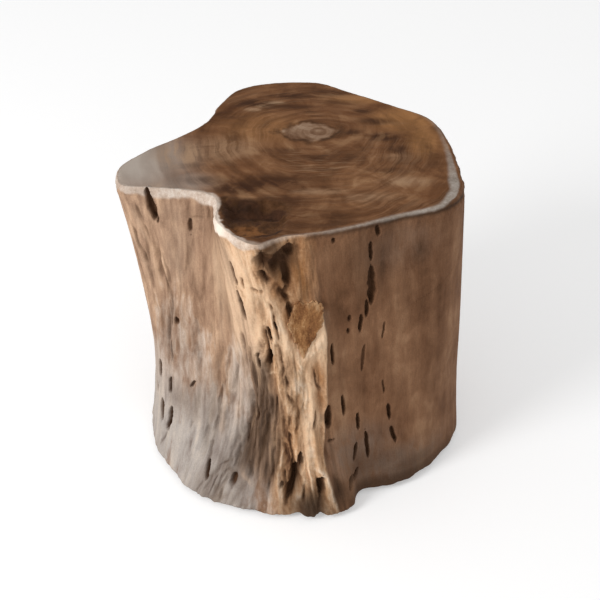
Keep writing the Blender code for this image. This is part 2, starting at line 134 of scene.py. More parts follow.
# Slits: rib, height in per cent of the log's, length and width in mm, lean to the right as a share of the
# rise, and depth in mm
SLITS = (
    (14.17, 94.8, 44, 10, -0.2, 10), (14.33, 92.1, 26, 4, -0.1, 6), (15.35, 90, 17, 5.4, -0.06, 5),
    (14.94, 56.8, 11, 7, 0, 7), (13.85, 34, 33, 10, 0.1, 8), (13.45, 24, 16, 10, 0, 6),
    (14.53, 30.1, 28, 6.5, 0.06, 8), (14.02, 17.8, 39, 10.4, 0, 9), (14.54, 17, 44, 9, 0.22, 10),
    (16.28, 8.1, 25, 6, -0.07, 8), (15.46, 34.8, 14, 5.2, 0.49, 5), (14.67, 44.6, 35, 3, 0.05, 4),
    (17.57, 86, 32, 8.5, -0.16, 6), (17.97, 84.5, 15, 4.5, -0.15, 4), (17.68, 75.1, 41, 10.4, -0.15, 10),
    (18.16, 56.2, 23, 4.4, -0.09, 7), (18.74, 67.6, 24, 6.6, -0.09, 9), (18.61, 58.4, 27, 8.5, 0.12, 10),
    (19.1, 70.9, 14, 3.8, -0.28, 6), (19.1, 95, 23, 26, 0, 10), (19, 88.8, 19, 19, -0.5, 9),
    (19.78, 93.6, 27, 21, 0.6, 10), (20.1, 95.5, 20, 14, 0, 10), (19.92, 88.5, 36, 11.5, 0.05, 10),
    (17.8, 34, 27, 8.5, 0, 10), (17.23, 22.9, 30, 3, 0, 5), (17.12, 7.5, 15, 11, -0.2, 9),
    (19.32, 12.5, 66, 16.5, 0.44, 14), (19.6, 20, 18, 7, 0.2, 10), (20.26, 9.2, 28, 10, 0.21, 12),
    (18.8, 10, 9, 5, 0, 6), (21.08, 56, 34, 4.8, 0.04, 8), (21.39, 96.5, 8, 5, 0, 6),
    (21.66, 67.7, 9, 5, 0, 6), (21.62, 63, 8, 4.8, 0, 6), (20.82, 32.4, 41, 9.5, 0, 12),
    (21.39, 34.5, 36, 5.8, -0.07, 9), (21.86, 26.6, 28, 5.8, -0.04, 9), (22.12, 16.8, 43, 6, -0.1, 9),
    (21.73, 15.9, 25, 6.6, 0.26, 9), (20.88, 23, 5, 11, 0, 6), (21.4, 7.2, 17, 13, 0.43, 12),
    (21.72, 8.3, 13, 10, 0.3, 10), (22.4, 96.9, 14, 6.4, 0, 8), (22.23, 90.4, 28, 5.4, 0, 8),
    (22.24, 78, 59, 11.2, 0, 12), (22.11, 70, 27, 5.4, 0, 8), (21.95, 64.9, 28, 5.4, 0.09, 8),
    (22.51, 60.5, 27, 3, 0.11, 4), (22, 51.5, 42, 5, 0.08, 4), (22.52, 38.3, 23, 3, -0.11, 4),
    (22.67, 27.6, 27, 5.6, -0.13, 9), (22.78, 18.4, 27, 6.4, -0.26, 9), (24.13, 72.5, 41, 1.8, 2.24, 1),
    (1.6, 42, 36, 6, 0.05, 9), (2.9, 76, 45, 7, 0, 9), (4.4, 25, 42, 8, -0.1, 10),
    (5.6, 62, 54, 7.5, 0.1, 10), (7.4, 85, 30, 6.5, 0, 9), (9.3, 38, 51, 8.5, 0.1, 10),
    (11.2, 64, 36, 6, -0.05, 9),
)
SLIT_UNITS = (1, PERCENT, MM, MM, 1, MM)

# Slits at least this wide get their painted shade gradually towards their middle
WIDE_SLIT = 0.0105

# Along the wall, by rib: how deep weather has cut the grain
WEATHER_RIBS = (0.0, 3.0, 8.0, 12.0, 14.0, 16.0, 17.2, 18.4, 20.0, 20.8, 21.1, 22.5, 24.5, 26.0)
WEATHER_SHARES = (0.15, 0.30, 0.45, 0.40, 0.35, 0.45, 0.80, 1.00, 1.00, 0.95, 0.22, 0.16, 0.10, 0.15)

# The rim: rib, how far it is worn, how far its pale band comes down the wall, and where the band starts
# and ends on the seat, in mm, how much the band shows, the painted shadow line under it, and how cream
# it is and how bright its painted highlight. The band is pale sapwood with a painted highlight where the
# eased edge catches the light
RIM_ROWS = (
    (0, 6, -10, 4, 15, 0.85, 0.9, 0), (1, 6, -10, 2, 6, 0.4, 0.4, 0), (3, 4, 1, -10, 0, 0.1, 0.1, 0),
    (11.5, 4, 2, -10, 0, 0.2, 0.1, 0.2), (12.7, 7.5, 9, -10, 4, 0.75, 0, 0.6),
    (16, 7.5, 10, -10, 5, 0.9, 0, 0.9), (16.8, 7, 11, -10, 6, 1, 0, 1.05),
    (17.3, 7, 16, -10, 6, 1, 0, 1.35), (17.9, 6.5, 9, -10, 6, 0.85, 0, 0.85),
    (19, 5, 5, -10, 5, 0.55, 0, 0.8), (20.2, 4, 3, -10, 3, 0.35, 0.1, 0.6),
    (21, 3.2, 3.2, -10, 1, 0.45, 0.55, 0.2), (24, 3.5, 3, -3, 6, 0.95, 0.9, 0.05),
    (25.2, 6, -10, 3, 16, 0.95, 1, 0), (26, 6, -10, 4, 15, 0.9, 0.95, 0),
)
RIM_UNITS = (1, MM, MM, MM, MM, 1, 1, 1)
RIM_RIBS, *RIM_COLUMNS = (np.array(RIM_ROWS) * RIM_UNITS).T
RIM = dict(zip(("ease", "drop", "start", "end", "share", "line", "cream_and_highlight"), RIM_COLUMNS))
RIM_INSET_SHARE = 0.75

# The grain on the left wall runs forward half way up, and back at the foot and the seat
SWEEP_MIDDLE = 0.50
FOOT_SWEEP = 1.8
SEAT_SWEEP = 1.2

# The left edge of the rotten ridge, by height share
RIDGE_HEIGHTS = (0.00, 0.15, 0.35, 0.55, 0.75, 1.00)
RIDGE_RIBS = (18.6, 18.7, 19.0, 18.5, 18.0, 17.4)

# The ridge's right edge, by height share, and how far the wall beside it drops back
EDGE_HEIGHTS = (0.03, 0.11, 0.19, 0.28, 0.40, 0.52, 0.61, 0.68, 0.78, 0.95)
EDGE_RIBS = (20.60, 20.54, 20.54, 20.65, 20.76, 20.82, 20.92, 20.90, 20.86, 20.92)
EDGE_DROP = 0.0034

# The left edge of the brown streaks beside the ridge, by height share, and the rib of their right edge
BROWN_HEIGHTS = (0.00, 0.10, 0.30, 0.57, 0.70)
BROWN_RIBS = (16.80, 17.10, 17.25, 17.70, 18.00)
BROWN_END = 19.3

# Worn ridges of the wall: half width and how proud they stand in mm, how pale they are, and the places that
# each passes, as rib and height in per cent
STRANDS = (
    (6, 3, 1, (20.88, 71), (20.84, 65), (20.6, 61.2), (20.32, 58.8), (20, 56.5)),
    (6, 1.8, 0.8, (19.2, 73), (19.46, 68.5), (19.62, 65), (19.68, 61), (19.84, 57)),
    (7.5, 2, 0.75, (20, 56.5), (19.84, 53), (19.74, 48.5), (19.96, 43.5), (20.08, 39)),
    (3.5, 1.2, 0.5, (18.86, 80), (18.94, 74), (18.98, 69), (19, 63)),
    (2.4, 2, 0.6, (18.34, 62.5), (18.02, 58.5), (18.12, 53)),
    (2.4, 2, 0.65, (18.86, 64), (18.82, 58), (18.72, 53), (18.4, 51)),
    (3, 1.5, 0.5, (18.96, 50), (19.1, 42), (19.2, 35)),
    (6.5, 3.2, 1, (20, 34.5), (20.1, 29), (20.14, 24), (19.98, 18)),
    (3.4, 3, 0.85, (18.96, 23.5), (18.8, 19), (18.74, 14), (18.78, 8), (18.8, 3.5)),
    (3.4, 3, 0.85, (19.52, 23), (19.54, 17), (19.68, 13), (19.44, 8), (19.22, 4)),
    (3, 3, 0.9, (20.1, 15.5), (20.36, 14), (20.52, 11.5), (20.56, 7), (20.58, 3)),
    (2.8, 2.5, 0.7, (19.84, 18), (19.96, 12), (19.9, 6)),
    (3.6, 1.8, 0.55, (17.32, 11.8), (17.5, 10), (17.74, 8.8)),
    (3.6, 2, 0.6, (17.02, 66), (17, 57), (16.96, 48)),
    (4, 2, 0.55, (16.62, 46), (16.52, 36), (16.4, 27), (16.42, 20)),
    (4.5, 1.8, 0.5, (17, 44), (16.9, 34), (16.86, 26)),
    (2.5, 1.2, 0.4, (17.48, 86), (17.54, 79), (17.56, 70), (17.56, 60)),
    (4, 1.4, 0.45, (17.28, 52), (17.32, 44), (17.26, 36)),
    (3, 1.2, 0.35, (15, 87), (15.08, 73), (15.18, 60), (15.28, 48)),
    (4, 1.2, 0.35, (16.22, 85), (16.32, 75), (16.42, 66), (16.42, 54)),
    (2.6, 1.6, 0.5, (13.5, 94), (13.66, 88), (13.88, 81)),
    (2.6, 1.6, 0.5, (13.22, 86), (13.4, 79), (13.72, 71)),
)

# Grooves and hollows worn into the wall: half width and depth in mm, how dark they are, brown with painted
# shade in them, and places as above
RECESSES = (
    (4.2, 6.5, 1, (19.46, 85), (19.58, 82.5), (19.76, 80), (19.86, 77), (19.92, 74), (19.98, 70)),
    (1.5, 2.5, 0.75, (18.98, 80), (19.06, 75), (19.1, 70.5), (19.12, 65)),
    (2, 2, 0.65, (18.42, 83.8), (18.68, 83.4)),
    (2.2, 2, 0.6, (17.92, 85.8), (17.88, 83)),
    (2.2, 2, 0.6, (17.5, 85.3), (17.52, 82.3)),
    (2, 2, 0.5, (18.32, 80.5), (18.32, 79)),
    (2.6, 5, 0.9, (18.6, 70), (18.58, 63), (18.52, 56)),
    (3.4, 3, 0.6, (19.04, 66), (19.14, 60), (19.22, 55), (19.2, 49)),
    (4, 4.5, 0.85, (20, 86), (19.88, 83.5), (19.74, 82), (19.6, 80.5)),
    (6, 2, 0.5, (19, 36), (19.06, 29), (19.1, 22), (19.2, 16)),
    (3.6, 3, 0.75, (19.2, 30), (19.26, 25), (19.36, 19), (19.44, 13)),
    (2.2, 2.2, 0.6, (19.22, 45), (19.36, 42.5), (19.56, 40)),
    (2.6, 2.4, 0.6, (19.62, 40), (19.66, 34), (19.6, 28)),
    (2.2, 2.2, 0.6, (20.4, 37), (20.34, 32), (20.26, 28)),
    (2.4, 2.2, 0.55, (19.3, 37), (19.34, 30), (19.28, 24)),
    (4.8, 3.5, 0.55, (18.48, 64), (18.32, 61)),
    (2.2, 3.2, 0.85, (18.2, 60.5), (18.1, 57.5), (18.14, 54)),
    (3, 4.5, 0.85, (18.62, 61), (18.62, 58), (18.48, 55.3)),
    (1.8, 2.5, 0.65, (19.15, 52.5), (19.35, 47)),
    (2.2, 2.5, 0.55, (20.4, 53), (20.44, 47), (20.6, 43)),
    (6, 3, 0.6, (17.76, 55), (17.8, 50), (17.82, 43)),
    (4, 3, 0.55, (17.9, 43), (17.62, 31), (17.5, 22), (17.4, 14)),
    (3, 2.5, 0.5, (16.92, 23), (16.9, 16), (16.94, 10)),
    (6.5, 3.5, 0.6, (16.95, 11.5), (17.2, 8.5), (17.36, 7.5)),
    (4.5, 3, 0.55, (16.7, 12), (16.46, 7), (16.4, 2)),
    (2.8, 2.6, 0.85, (14.22, 81), (14.4, 73), (14.62, 67), (14.72, 62), (14.74, 53)),
    (2, 2.2, 0.75, (14.42, 79), (14.7, 71), (14.78, 64), (14.76, 58.5)),
    (2.5, 1.8, 0.45, (13.96, 85), (13.9, 76), (13.9, 67), (14.06, 60), (14.38, 53)),
    (3, 1.8, 0.4, (15.34, 86), (15.36, 80), (15.3, 74)),
    (3.2, 2.2, 0.45, (17.62, 50), (17.56, 42), (17.34, 33), (17.24, 24)),
    (8.5, 4.5, 0.75, (19, 95.5), (19.5, 92.5), (20.02, 92.5), (20.16, 95.5)),
    (5.5, 4, 0.6, (18.98, 93), (18.9, 89)),
    (5.5, 4, 0.65, (20.02, 92), (19.98, 87), (19.88, 83)),
    (4.2, 5.5, 0.9, (19.34, 20), (19.32, 14), (19.1, 8), (19, 4)),
    (3.5, 5, 0.8, (20.28, 12.5), (20.24, 8), (20.1, 3)),
    (3, 3.5, 0.6, (18.92, 15.5), (18.98, 10), (18.95, 2)),
    (2.6, 3.5, 0.6, (19.6, 12), (19.56, 5)),
    (3, 3, 0.6, (20.8, 11), (20.86, 5)),
    (1.8, 2.8, 0.8, (17.38, 63), (17.42, 52), (17.44, 40), (17.32, 27), (17.2, 15.5), (17.16, 10)),
    (2.6, 3.4, 0.95, (16.36, 42), (16.28, 26), (16.2, 18), (16.18, 13.3), (16.28, 7.2)),
    (5.5, 3, 0.45, (16.4, 53.7), (16.36, 48), (16.28, 40), (16.1, 31), (16.02, 21), (16.04, 13)),
    (3.4, 2.2, 0.6, (15.62, 60.8), (15.62, 55.7), (15.62, 51.2), (15.58, 45.5)),
    (2.6, 2.2, 0.6, (14.7, 63.8), (14.72, 59.3), (14.64, 50.8), (14.68, 45.3), (14.74, 40.8)),
    (2.4, 2, 0.5, (16.7, 55), (16.6, 49), (16.48, 41.7), (16.42, 35.7)),
    (2.8, 1.8, 0.45, (16.1, 62), (16.14, 58), (15.96, 51.7)),
    (2.8, 2.4, 0.65, (17.8, 62), (17.74, 57), (17.48, 50.8)),
    (3.6, 3.6, 0.9, (17.42, 37), (17.24, 26), (17.2, 21.7), (17.1, 16.8), (17.06, 11.8), (16.98, 8.5)),
    (3, 3.2, 0.85, (16.98, 8.5), (16.82, 6), (16.66, 2)),
    (2, 3.2, 0.95, (16.48, 8.5), (16.42, 5.8), (16.3, 2)),
    (1.8, 3, 0.95, (16.66, 8.5), (16.58, 5.8), (16.52, 1)),
    (2, 3, 0.9, (16.78, 9.8), (16.72, 6.5), (16.68, 1)),
    (1.8, 2.8, 0.85, (16.94, 11.3), (16.84, 8.8), (16.84, 4.5), (16.9, 0.5)),
    (1.6, 2.4, 0.85, (16.5, 10), (16.66, 11.3), (16.84, 13)),
    (2.8, 3.2, 0.85, (17.34, 16.2), (17.62, 14.7), (17.74, 12.2), (17.66, 9.8)),
    (2.4, 2.8, 0.8, (18.36, 52.5), (18.2, 44.3), (17.96, 35), (17.88, 24)),
    (2.6, 2.8, 0.8, (18.58, 43.2), (18.44, 32.8), (18.22, 23), (18, 13.8)),
    (3.4, 2.2, 0.5, (17.04, 54.5), (16.84, 46.5), (16.72, 37.2), (16.56, 27.5), (16.52, 21.2)),
    (1.8, 2.2, 0.8, (14.5, 12.5), (14.32, 8), (14.06, 3.3)),
    (2, 1.6, 0.5, (15.54, 21.2), (15.5, 18)),
    (2, 1.6, 0.5, (15.55, 14.5), (15.5, 11.2)),
    (2.6, 1.8, 0.45, (14.08, 61.8), (14.08, 57.3), (14, 52)),
    (1.3, 2, 0.6, (16.2, 5), (16.1, 2), (16.06, 0)),
    (1.4, 2.2, 0.7, (18.05, 47), (18.08, 38), (17.9, 28), (17.7, 19)),
    (1.4, 2.2, 0.65, (18.4, 49), (18.3, 38), (18.15, 29)),
    (1.6, 2.5, 0.6, (18.75, 44), (18.7, 38), (18.6, 26), (18.52, 15), (18.4, 7)),
    (2.6, 2.4, 0.85, (13.7, 95), (13.82, 90), (14.02, 83)),
    (2.6, 2.4, 0.85, (13.38, 87), (13.52, 80), (13.86, 72)),
    (2.2, 2, 0.65, (13.1, 80), (13.34, 71), (13.62, 62)),
    (2.2, 3, 0.8, (14.24, 90.3), (14.38, 90.8)),
    (1.6, 1.6, 0.55, (15.38, 92.5), (15.7, 93.2)),
    (1.8, 2, 0.5, (15.84, 97.5), (15.92, 94.5), (15.9, 92.5)),
    (1.6, 3.5, 0.8, (0.55, 99), (0.62, 86), (0.55, 74), (0.64, 62)),
    (1.4, 2.5, 0.6, (1.1, 60), (1.16, 50), (1.1, 42)),
    (2, 4, 0.8, (2.25, 30), (2.15, 20), (2.22, 10), (2.15, 0)),
    (1.7, 3.6, 0.8, (3.4, 99), (3.34, 88), (3.42, 76), (3.36, 66), (3.44, 58)),
    (1.4, 2.5, 0.65, (4.9, 52), (4.96, 44), (4.9, 34), (4.98, 26)),
    (2, 4, 0.8, (6.1, 99), (6.04, 88), (6.14, 76), (6.08, 64), (6.16, 54)),
    (1.6, 3, 0.7, (6.95, 36), (7.02, 26), (6.96, 16), (7.05, 5)),
    (1.6, 3, 0.7, (8.3, 97), (8.36, 88), (8.28, 78), (8.36, 70)),
    (1.8, 3.5, 0.8, (8.75, 46), (8.8, 36), (8.72, 24), (8.8, 12)),
    (1.6, 3, 0.7, (10.3, 98), (10.24, 90), (10.32, 80)),
    (1.8, 3.5, 0.7, (10.6, 40), (10.52, 30), (10.6, 18), (10.54, 6)),
    (1.6, 3, 0.7, (12.2, 97), (12.3, 86), (12.26, 74), (12.4, 64)),
    (1.4, 2.5, 0.6, (12.6, 45), (12.7, 33), (12.66, 22)),
    (3, 1.2, 0.4, (5.4, 95), (5.3, 70), (5.38, 45), (5.3, 20)),
    (3.5, 1.4, 0.4, (7.8, 90), (7.74, 60), (7.82, 30), (7.76, 5)),
    (3, 1.2, 0.4, (2.7, 70), (2.62, 50), (2.7, 25)),
)

# Patches of colour on the wall: rib, height in per cent, half width in ribs, half height in per cent,
# and strength
WALL_PATCHES = {
    "tan": (
        (13.5, 80, 3.4, 55, 1), (15.5, 45, 2.6, 50, 0.8), (25, 50, 1, 50, 0.34),
        (24.2, 58, 0.6, 18, 0.48), (24.2, 86, 0.5, 14, 0.22), (18.2, 55, 1.9, 60, 1),
        (19.9, 50, 1, 42, 1), (19.4, 10, 1.4, 22, 0.5),
    ),
    "grey": (
        (13.6, 18, 2.2, 30, 1), (16.2, 12, 2.2, 26, 1), (15, 45, 1.4, 22, 0.5), (17, 42, 0.55, 18, 0.8),
    ),
    "gold": (
        (20.4, 87, 0.6, 12, 1), (20.6, 98, 0.8, 6, 0.8), (19.42, 88, 0.55, 6.5, 1),
        (19.45, 94, 0.45, 2.5, 1), (19.4, 99, 0.45, 2.5, 0.9), (19.5, 93, 0.7, 6, 0.7),
        (19.75, 68, 0.22, 9, 0.8), (20.6, 50, 0.22, 7, 0.9), (20.52, 40, 0.22, 5.5, 0.9),
        (20.36, 24, 0.2, 6, 1), (19.64, 73.5, 0.2, 6, 0.8), (19.7, 28, 0.3, 10, 0.5),
        (20.5, 52, 0.3, 4.5, 0.9), (19.5, 56, 0.22, 5, 0.6), (19.3, 84, 0.3, 4, 0.9),
        (20.3, 80, 0.35, 6, 0.9), (18.6, 76, 0.3, 6, 0.3), (19.6, 80, 0.35, 5, 0.6),
        (20.2, 54.5, 0.25, 3, 0.5),
    ),
    "cream": (
        (20.45, 54, 0.4, 10, 1), (19.3, 62, 0.35, 20, 0.7), (20.3, 36, 0.3, 14, 0.8),
        (19.9, 22, 0.22, 12, 0.7), (19, 80, 0.5, 10, 0.6), (17.9, 84, 0.8, 18, 0.6),
        (16.5, 80, 0.45, 13, 0.4), (18.2, 70, 0.7, 14, 0.6), (17.2, 74, 0.6, 20, 0.6),
        # The row at rib 20.78 paints light onto the wall right of the bark flake, which faces away from the
        # lamp
        (20.78, 64, 0.28, 7.5, 1), (20.3, 44, 0.4, 6, 0.7), (20.3, 57, 0.5, 3, 0.9),
        (19.5, 65, 0.3, 8, 0.9), (20.1, 30, 0.34, 6, 1),
    ),
    # Grey-brown darkening: smears, and painted shade over the low patches near the foot and under a furrow
    "smudge": (
        (15.3, 27.5, 0.9, 6.5, 0.65), (16.6, 3.5, 0.65, 5.5, 0.9), (17, 12, 0.55, 10, 0.75),
        (16.1, 29, 0.25, 16, 0.55), (17.5, 5, 0.6, 4, 0.55), (14.6, 52, 0.35, 10, 0.4),
        (15, 80, 0.45, 10, 0.35), (14.9, 93, 0.4, 4, 0.25), (21.6, 17, 1.1, 9, 0.7),
        (22.9, 7.5, 1.5, 6.5, 0.65), (23, 90, 0.9, 8, 0.3),
    ),
    # Dark brown stains, and painted shade along the bottom of the wall where the foot's edge rounds under
    "stain": (
        (22.2, 10, 0.9, 5, 0.4), (23.3, 4.5, 1, 4.5, 0.55), (22.8, 1.2, 2.6, 4.2, 0.85),
        (19.7, 2.5, 0.8, 7, 1), (19.3, 10, 0.38, 7, 0.65), (20.8, 5, 0.4, 6, 0.8),
        (19.6, 93, 0.7, 6, 0.8), (19.4, 98.5, 0.55, 3, 0.78), (22.2, 86, 0.55, 13, 0.34),
        (23.3, 72, 0.6, 12, 0.12),
    ),
}
WALL_PATCH_UNITS = (1, PERCENT, 1, PERCENT, 1)

# Patches of colour on the seat: middle, half width and half depth in mm, strength
SEAT_PATCHES = {
    "dark": (
        (-55, 168, 30, 10, 0.9), (-10, 191, 34, 9, 0.9), (45, 198, 34, 10, 0.9), (-5, 159, 30, 7, 0.7),
        (-90, 135, 26, 10, 0.6), (-140, 2, 16, 8, 0.3), (-108, -34, 42, 11, 0.65), (-75, -52, 34, 18, 1),
        (-30, -40, 50, 22, 0.9), (-20, -85, 40, 22, 0.7), (-85, -85, 20, 14, 0.9), (78, 88, 12, 10, 0.8),
        (115, 76, 24, 12, 1), (135, 45, 12, 10, 0.8), (108, 118, 24, 10, 0.8), (91, 146, 14, 8, 0.8),
        (60, 170, 30, 8, 0.5), (176, 38, 7, 30, 0.6), (50, 20, 40, 12, 0.6), (20, -125, 60, 24, 0.6),
        (130, -10, 30, 8, 0.5), (-20, 40, 30, 8, 0.5),
    ),
    "pale": (
        (-62, 151, 12, 5, 0.8), (-46, 160, 12, 5, 0.8), (-30, 169, 14, 5, 0.9), (-150, 31, 34, 32, 0.7),
        (-97, 44, 45, 32, 0.45), (130, 112, 18, 5, 0.3), (133, 23, 16, 14, 0.3), (140, -36, 30, 12, 0.6),
        (92, -74, 30, 10, 0.5), (30, -60, 30, 8, 0.4), (28, 94, 6, 6, 0.9),
    ),
    "orange": (
        (150, 124, 42, 34, 1), (170, 70, 22, 45, 0.8), (-50, 100, 50, 40, 0.35), (100, 180, 50, 14, 0.5),
    ),
    "grey": (
        (-215, 10, 70, 80, 1), (-160, -40, 50, 30, 0.6),
    ),
    "saw": (
        (38, 10, 52, 46, 0.9), (0, -68, 50, 12, 0.7), (90, -60, 60, 30, 0.35),
    ),
    "hollow_orange": (
        (-63, -147, 25, 17, 1),
    ),
    # Dark rot, with painted shade on the hollow's far wall and inside its front rim
    "hollow_dark": (
        (-68, -100, 28, 23, 1), (-31, -106, 16, 11, 1), (-24, -154, 26, 7, 1),
    ),
}
SEAT_PATCH_UNITS = (MM, MM, MM, MM, 1)

# The pale heart of the seat
LENS_MIDDLE = (0.017, 0.090)
LENS_SIZE = (0.042, 0.026)

# The seat's pith, how far its rings reach to each side, to the rear and to the front, and its hollow
PITH = (0.028, 0.094)
SIDE_REACH = 0.200
REAR_REACH = 0.136
FRONT_REACH = 0.260
HOLLOW_PLACE_SHARE = (-0.118, -0.265)
HOLLOW_OUTLINE_SHARES = (
    (0.5, 0.09), (0.43, 0.33), (0.2, 0.46), (-0.02, 0.42), (-0.4, 0.5), (-0.43, 0.2), (-0.36, -0.14),
    (-0.2, -0.42), (0.12, -0.46), (0.4, -0.3),
)

# The flake of inner bark
BARK_RIB = 20.28
BARK_HEIGHT_SHARE = 0.680
BARK_SIZE = (0.046, 0.084)
BARK_PROUD = 0.0016
BARK_SEAT = 0.004
BARK_OUTLINE_SHARES = (
    (0.5, 0.15), (0.5, 0.36), (0.4, 0.43), (0.22, 0.455), (0.03, 0.47), (-0.14, 0.48), (-0.29, 0.38),
    (-0.38, 0.25), (-0.5, 0.17), (-0.54, 0.07), (-0.45, -0.03), (-0.38, -0.16), (-0.31, -0.275),
    (-0.24, -0.42), (-0.17, -0.51), (-0.09, -0.43), (0.03, -0.31), (0.16, -0.21), (0.28, -0.09),
    (0.42, 0.01),
)

# The baked image: the wall's strip, and the corner and scale of the seat and of the foot above it
WALL_STRIP_LEFT = (0.001, 0.005)
WALL_STRIP_SIZE = (0.998, 0.34)
LEVEL_SHIFT = 0.24
SEAT_CORNER = (0.02, 0.37)
SEAT_SCALE = 1.25
FOOT_CORNER = (0.68, 0.37)
FOOT_SCALE = 0.62

# The camera and the room
CAMERA_TARGET = Vector((0.004, -0.012, 0.2169))
CAMERA_DISTANCE = 2.0
CAMERA_ELEVATION = math.radians(37)
CAMERA_LENS = 86.3
SENSOR_WIDTH = 36
FLOOR_SIZE = 12.0
FLOOR_GREY = 0.80
FLOOR_GLOW = 0.35
ROOM_LIGHT = 0.60
KEY_PLACE = Vector((-2.0, -1.4, 1.7))
KEY_SIZE = 1.2
KEY_POWER = 44

# Colours, written as they look on screen
# The dark brown of stains, of the painted shade along the foot, and of the painted shadow line under the rim
STAIN_AND_SHADOW_BROWN = "3a281b"
GROOVE_BROWN = "4a3423"

# How much the grain on the wall is squeezed along its length
GRAIN_SQUEEZE = 0.13

RANDOM = np.random.default_rng(11)
ORDER = RANDOM.permutation(256)
SLOPES = RANDOM.normal(size=(256, 3))
SLOPES /= np.linalg.norm(SLOPES, axis=1, keepdims=True)
CORNERS = np.array([(x, y, z) for x in (0, 1) for y in (0, 1) for z in (0, 1)])


def linear(code):
    """A colour written as it looks on screen, as the linear values that a shader takes."""
    values = [int(code[i : i + 2], 16) / 255 for i in (0, 2, 4)]
    return [value / 12.92 if value <= 0.04045 else ((value + 0.055) / 1.055) ** 2.4 for value in values]


def noise(points, seed=0):
    """Smooth noise from about -1 to 1 in space."""
    cell = np.floor(points).astype(int)
    part = points - cell
    fade = part**3 * (part * (part * 6 - 15) + 10)
    total = np.zeros(points.shape[:-1])
    for corner in CORNERS:
        at = cell + corner
        plane = ORDER[(at[..., 2] + seed) & 255]
        line = ORDER[(at[..., 1] + plane) & 255]
        slope = SLOPES[ORDER[(at[..., 0] + line) & 255]]
        reach = ((part - corner) * slope).sum(-1)
        total += reach * np.where(corner, fade, 1 - fade).prod(-1)
    return total * 1.5


def ridged(points, seed):
    """Noise with sharp crests, from about -1 to 1."""
    return 1 - 2 * np.abs(noise(points, seed))


def layered(points, seed, layers):
    """Noise under finer layers of it, each half as large and half as strong as the last."""
    return sum(0.5**layer * noise(points * 2**layer, seed + 17 * layer) for layer in range(layers))


def smooth(low, high, value):
    share = np.clip((value - low) / (high - low), 0, 1)
    return share * share * (3 - 2 * share)


def closed_curve(table, places):
    """Points on a smooth closed curve through the table's rows, at places counted in rows."""
    rows = np.asarray(table, float)
    whole = np.floor(places).astype(int)
    part = (places - whole)[..., None]
    before, start, end, after = (rows[(whole + step) % len(rows)] for step in (-1, 0, 1, 2))
    bend = 2 * before - 5 * start + 4 * end - after
    twist = 3 * (start - end) + after - before
    return start + part * (end - before + part * (bend + part * twist)) / 2


def closed_points(table, count):
    """The same at a count of evenly spread places."""
    return closed_curve(table, np.linspace(0, len(table), count, endpoint=False))


def gap_to(points, starts, steps):
    """How far flat points are from the nearest of some straight lines, each with its start and its step."""
    gap = np.full(points.shape[:-1], 1.0)
    for start, step in zip(starts, steps):
        part = np.clip((points - start) @ step / (step @ step), 0, 1)
        gap = np.minimum(gap, np.linalg.norm(points - start - part[..., None] * step, axis=-1))
    return gap


def plain_wall(ribs, heights):
    """Points on the wall without its relief, at rib places and shares of the log's height."""
    ribs, heights = np.broadcast_arrays(np.asarray(ribs, float), np.asarray(heights, float))
    outlines = (FOOT_OUTLINE_SHARES, WAIST_OUTLINE_SHARES, TOP_OUTLINE_SHARES)
    foot, waist, top = (closed_curve(outline, ribs) for outline in outlines)
    below = np.clip(1 - heights / WAIST_HEIGHT_SHARE, 0, 1)[..., None] ** 2
    above = np.clip((heights - WAIST_HEIGHT_SHARE) / (1 - WAIST_HEIGHT_SHARE), 0, 1)[..., None]
    plan = waist + (foot - waist) * below + (top - waist) * above**FLARE_POWER
    across, deep = plan[..., 0] * LOG_WIDTH, plan[..., 1] * LOG_DEPTH
    return np.stack((across, deep, LOG_BASE + heights * LOG_HEIGHT), axis=-1)


def outward(ribs, heights):
    """Level unit vectors that point away from the log, square to its wall."""
    along = plain_wall(ribs + RIB_STEP, heights) - plain_wall(ribs - RIB_STEP, heights)
    out = np.stack((along[..., 1], -along[..., 0], np.zeros_like(along[..., 0])), axis=-1)
    return out / np.linalg.norm(out, axis=-1, keepdims=True)


def rib_width(rib, height, reach=0.5):
    """How wide one rib is at a place of the wall, in metres, measured over a reach to each side."""
    span = plain_wall(rib + reach, height) - plain_wall(rib - reach, height)
    return np.linalg.norm(span) / (2 * reach)


def apart(ribs, rib):
    """How many ribs lie between two places, the short way round."""
    return (ribs - rib + RIBS / 2) % RIBS - RIBS / 2


def window_of(ribs, heights, rib, span, low, high):
    """The part of a grid of wall places that is near one rib and between two heights."""
    rows = np.nonzero((heights[:, 0] > low) & (heights[:, 0] < high))[0]
    return np.ix_(rows, np.nonzero(np.abs(apart(ribs[0], rib)) < span)[0])


def rim(measure, ribs):
    """One of the rim's measures along the wall."""
    return np.interp(ribs % RIBS, RIM_RIBS, RIM[measure])


def relief(ribs, heights, table):
    """How far a table's valleys take the wall in, less what its ridges add."""
    depth = np.zeros(np.broadcast(ribs, heights).shape)
    for at_seat, at_foot, low, high, half_width, share in table:
        middle = at_foot + (at_seat - at_foot) * heights
        way = np.clip((heights - low) / (high - low), 0, 1)
        bell = np.exp(-((apart(ribs, middle) / half_width) ** 2))
        depth += share * RELIEF_DEPTH * bell * np.sin(np.pi * way) ** 2
    return depth


def covered(table, units, offsets, power):
    """How strongly a table's patches of colour cover each place, by its two offsets from a patch's middle."""
    cover = 0.0
    for *middle, half_width, half_height, strength in np.array(table) * units:
        aside, up = offsets(*middle)
        away = (aside / half_width) ** 2 + (up / half_height) ** 2
        cover = np.maximum(cover, strength * np.exp(-(away**power)))
    return cover


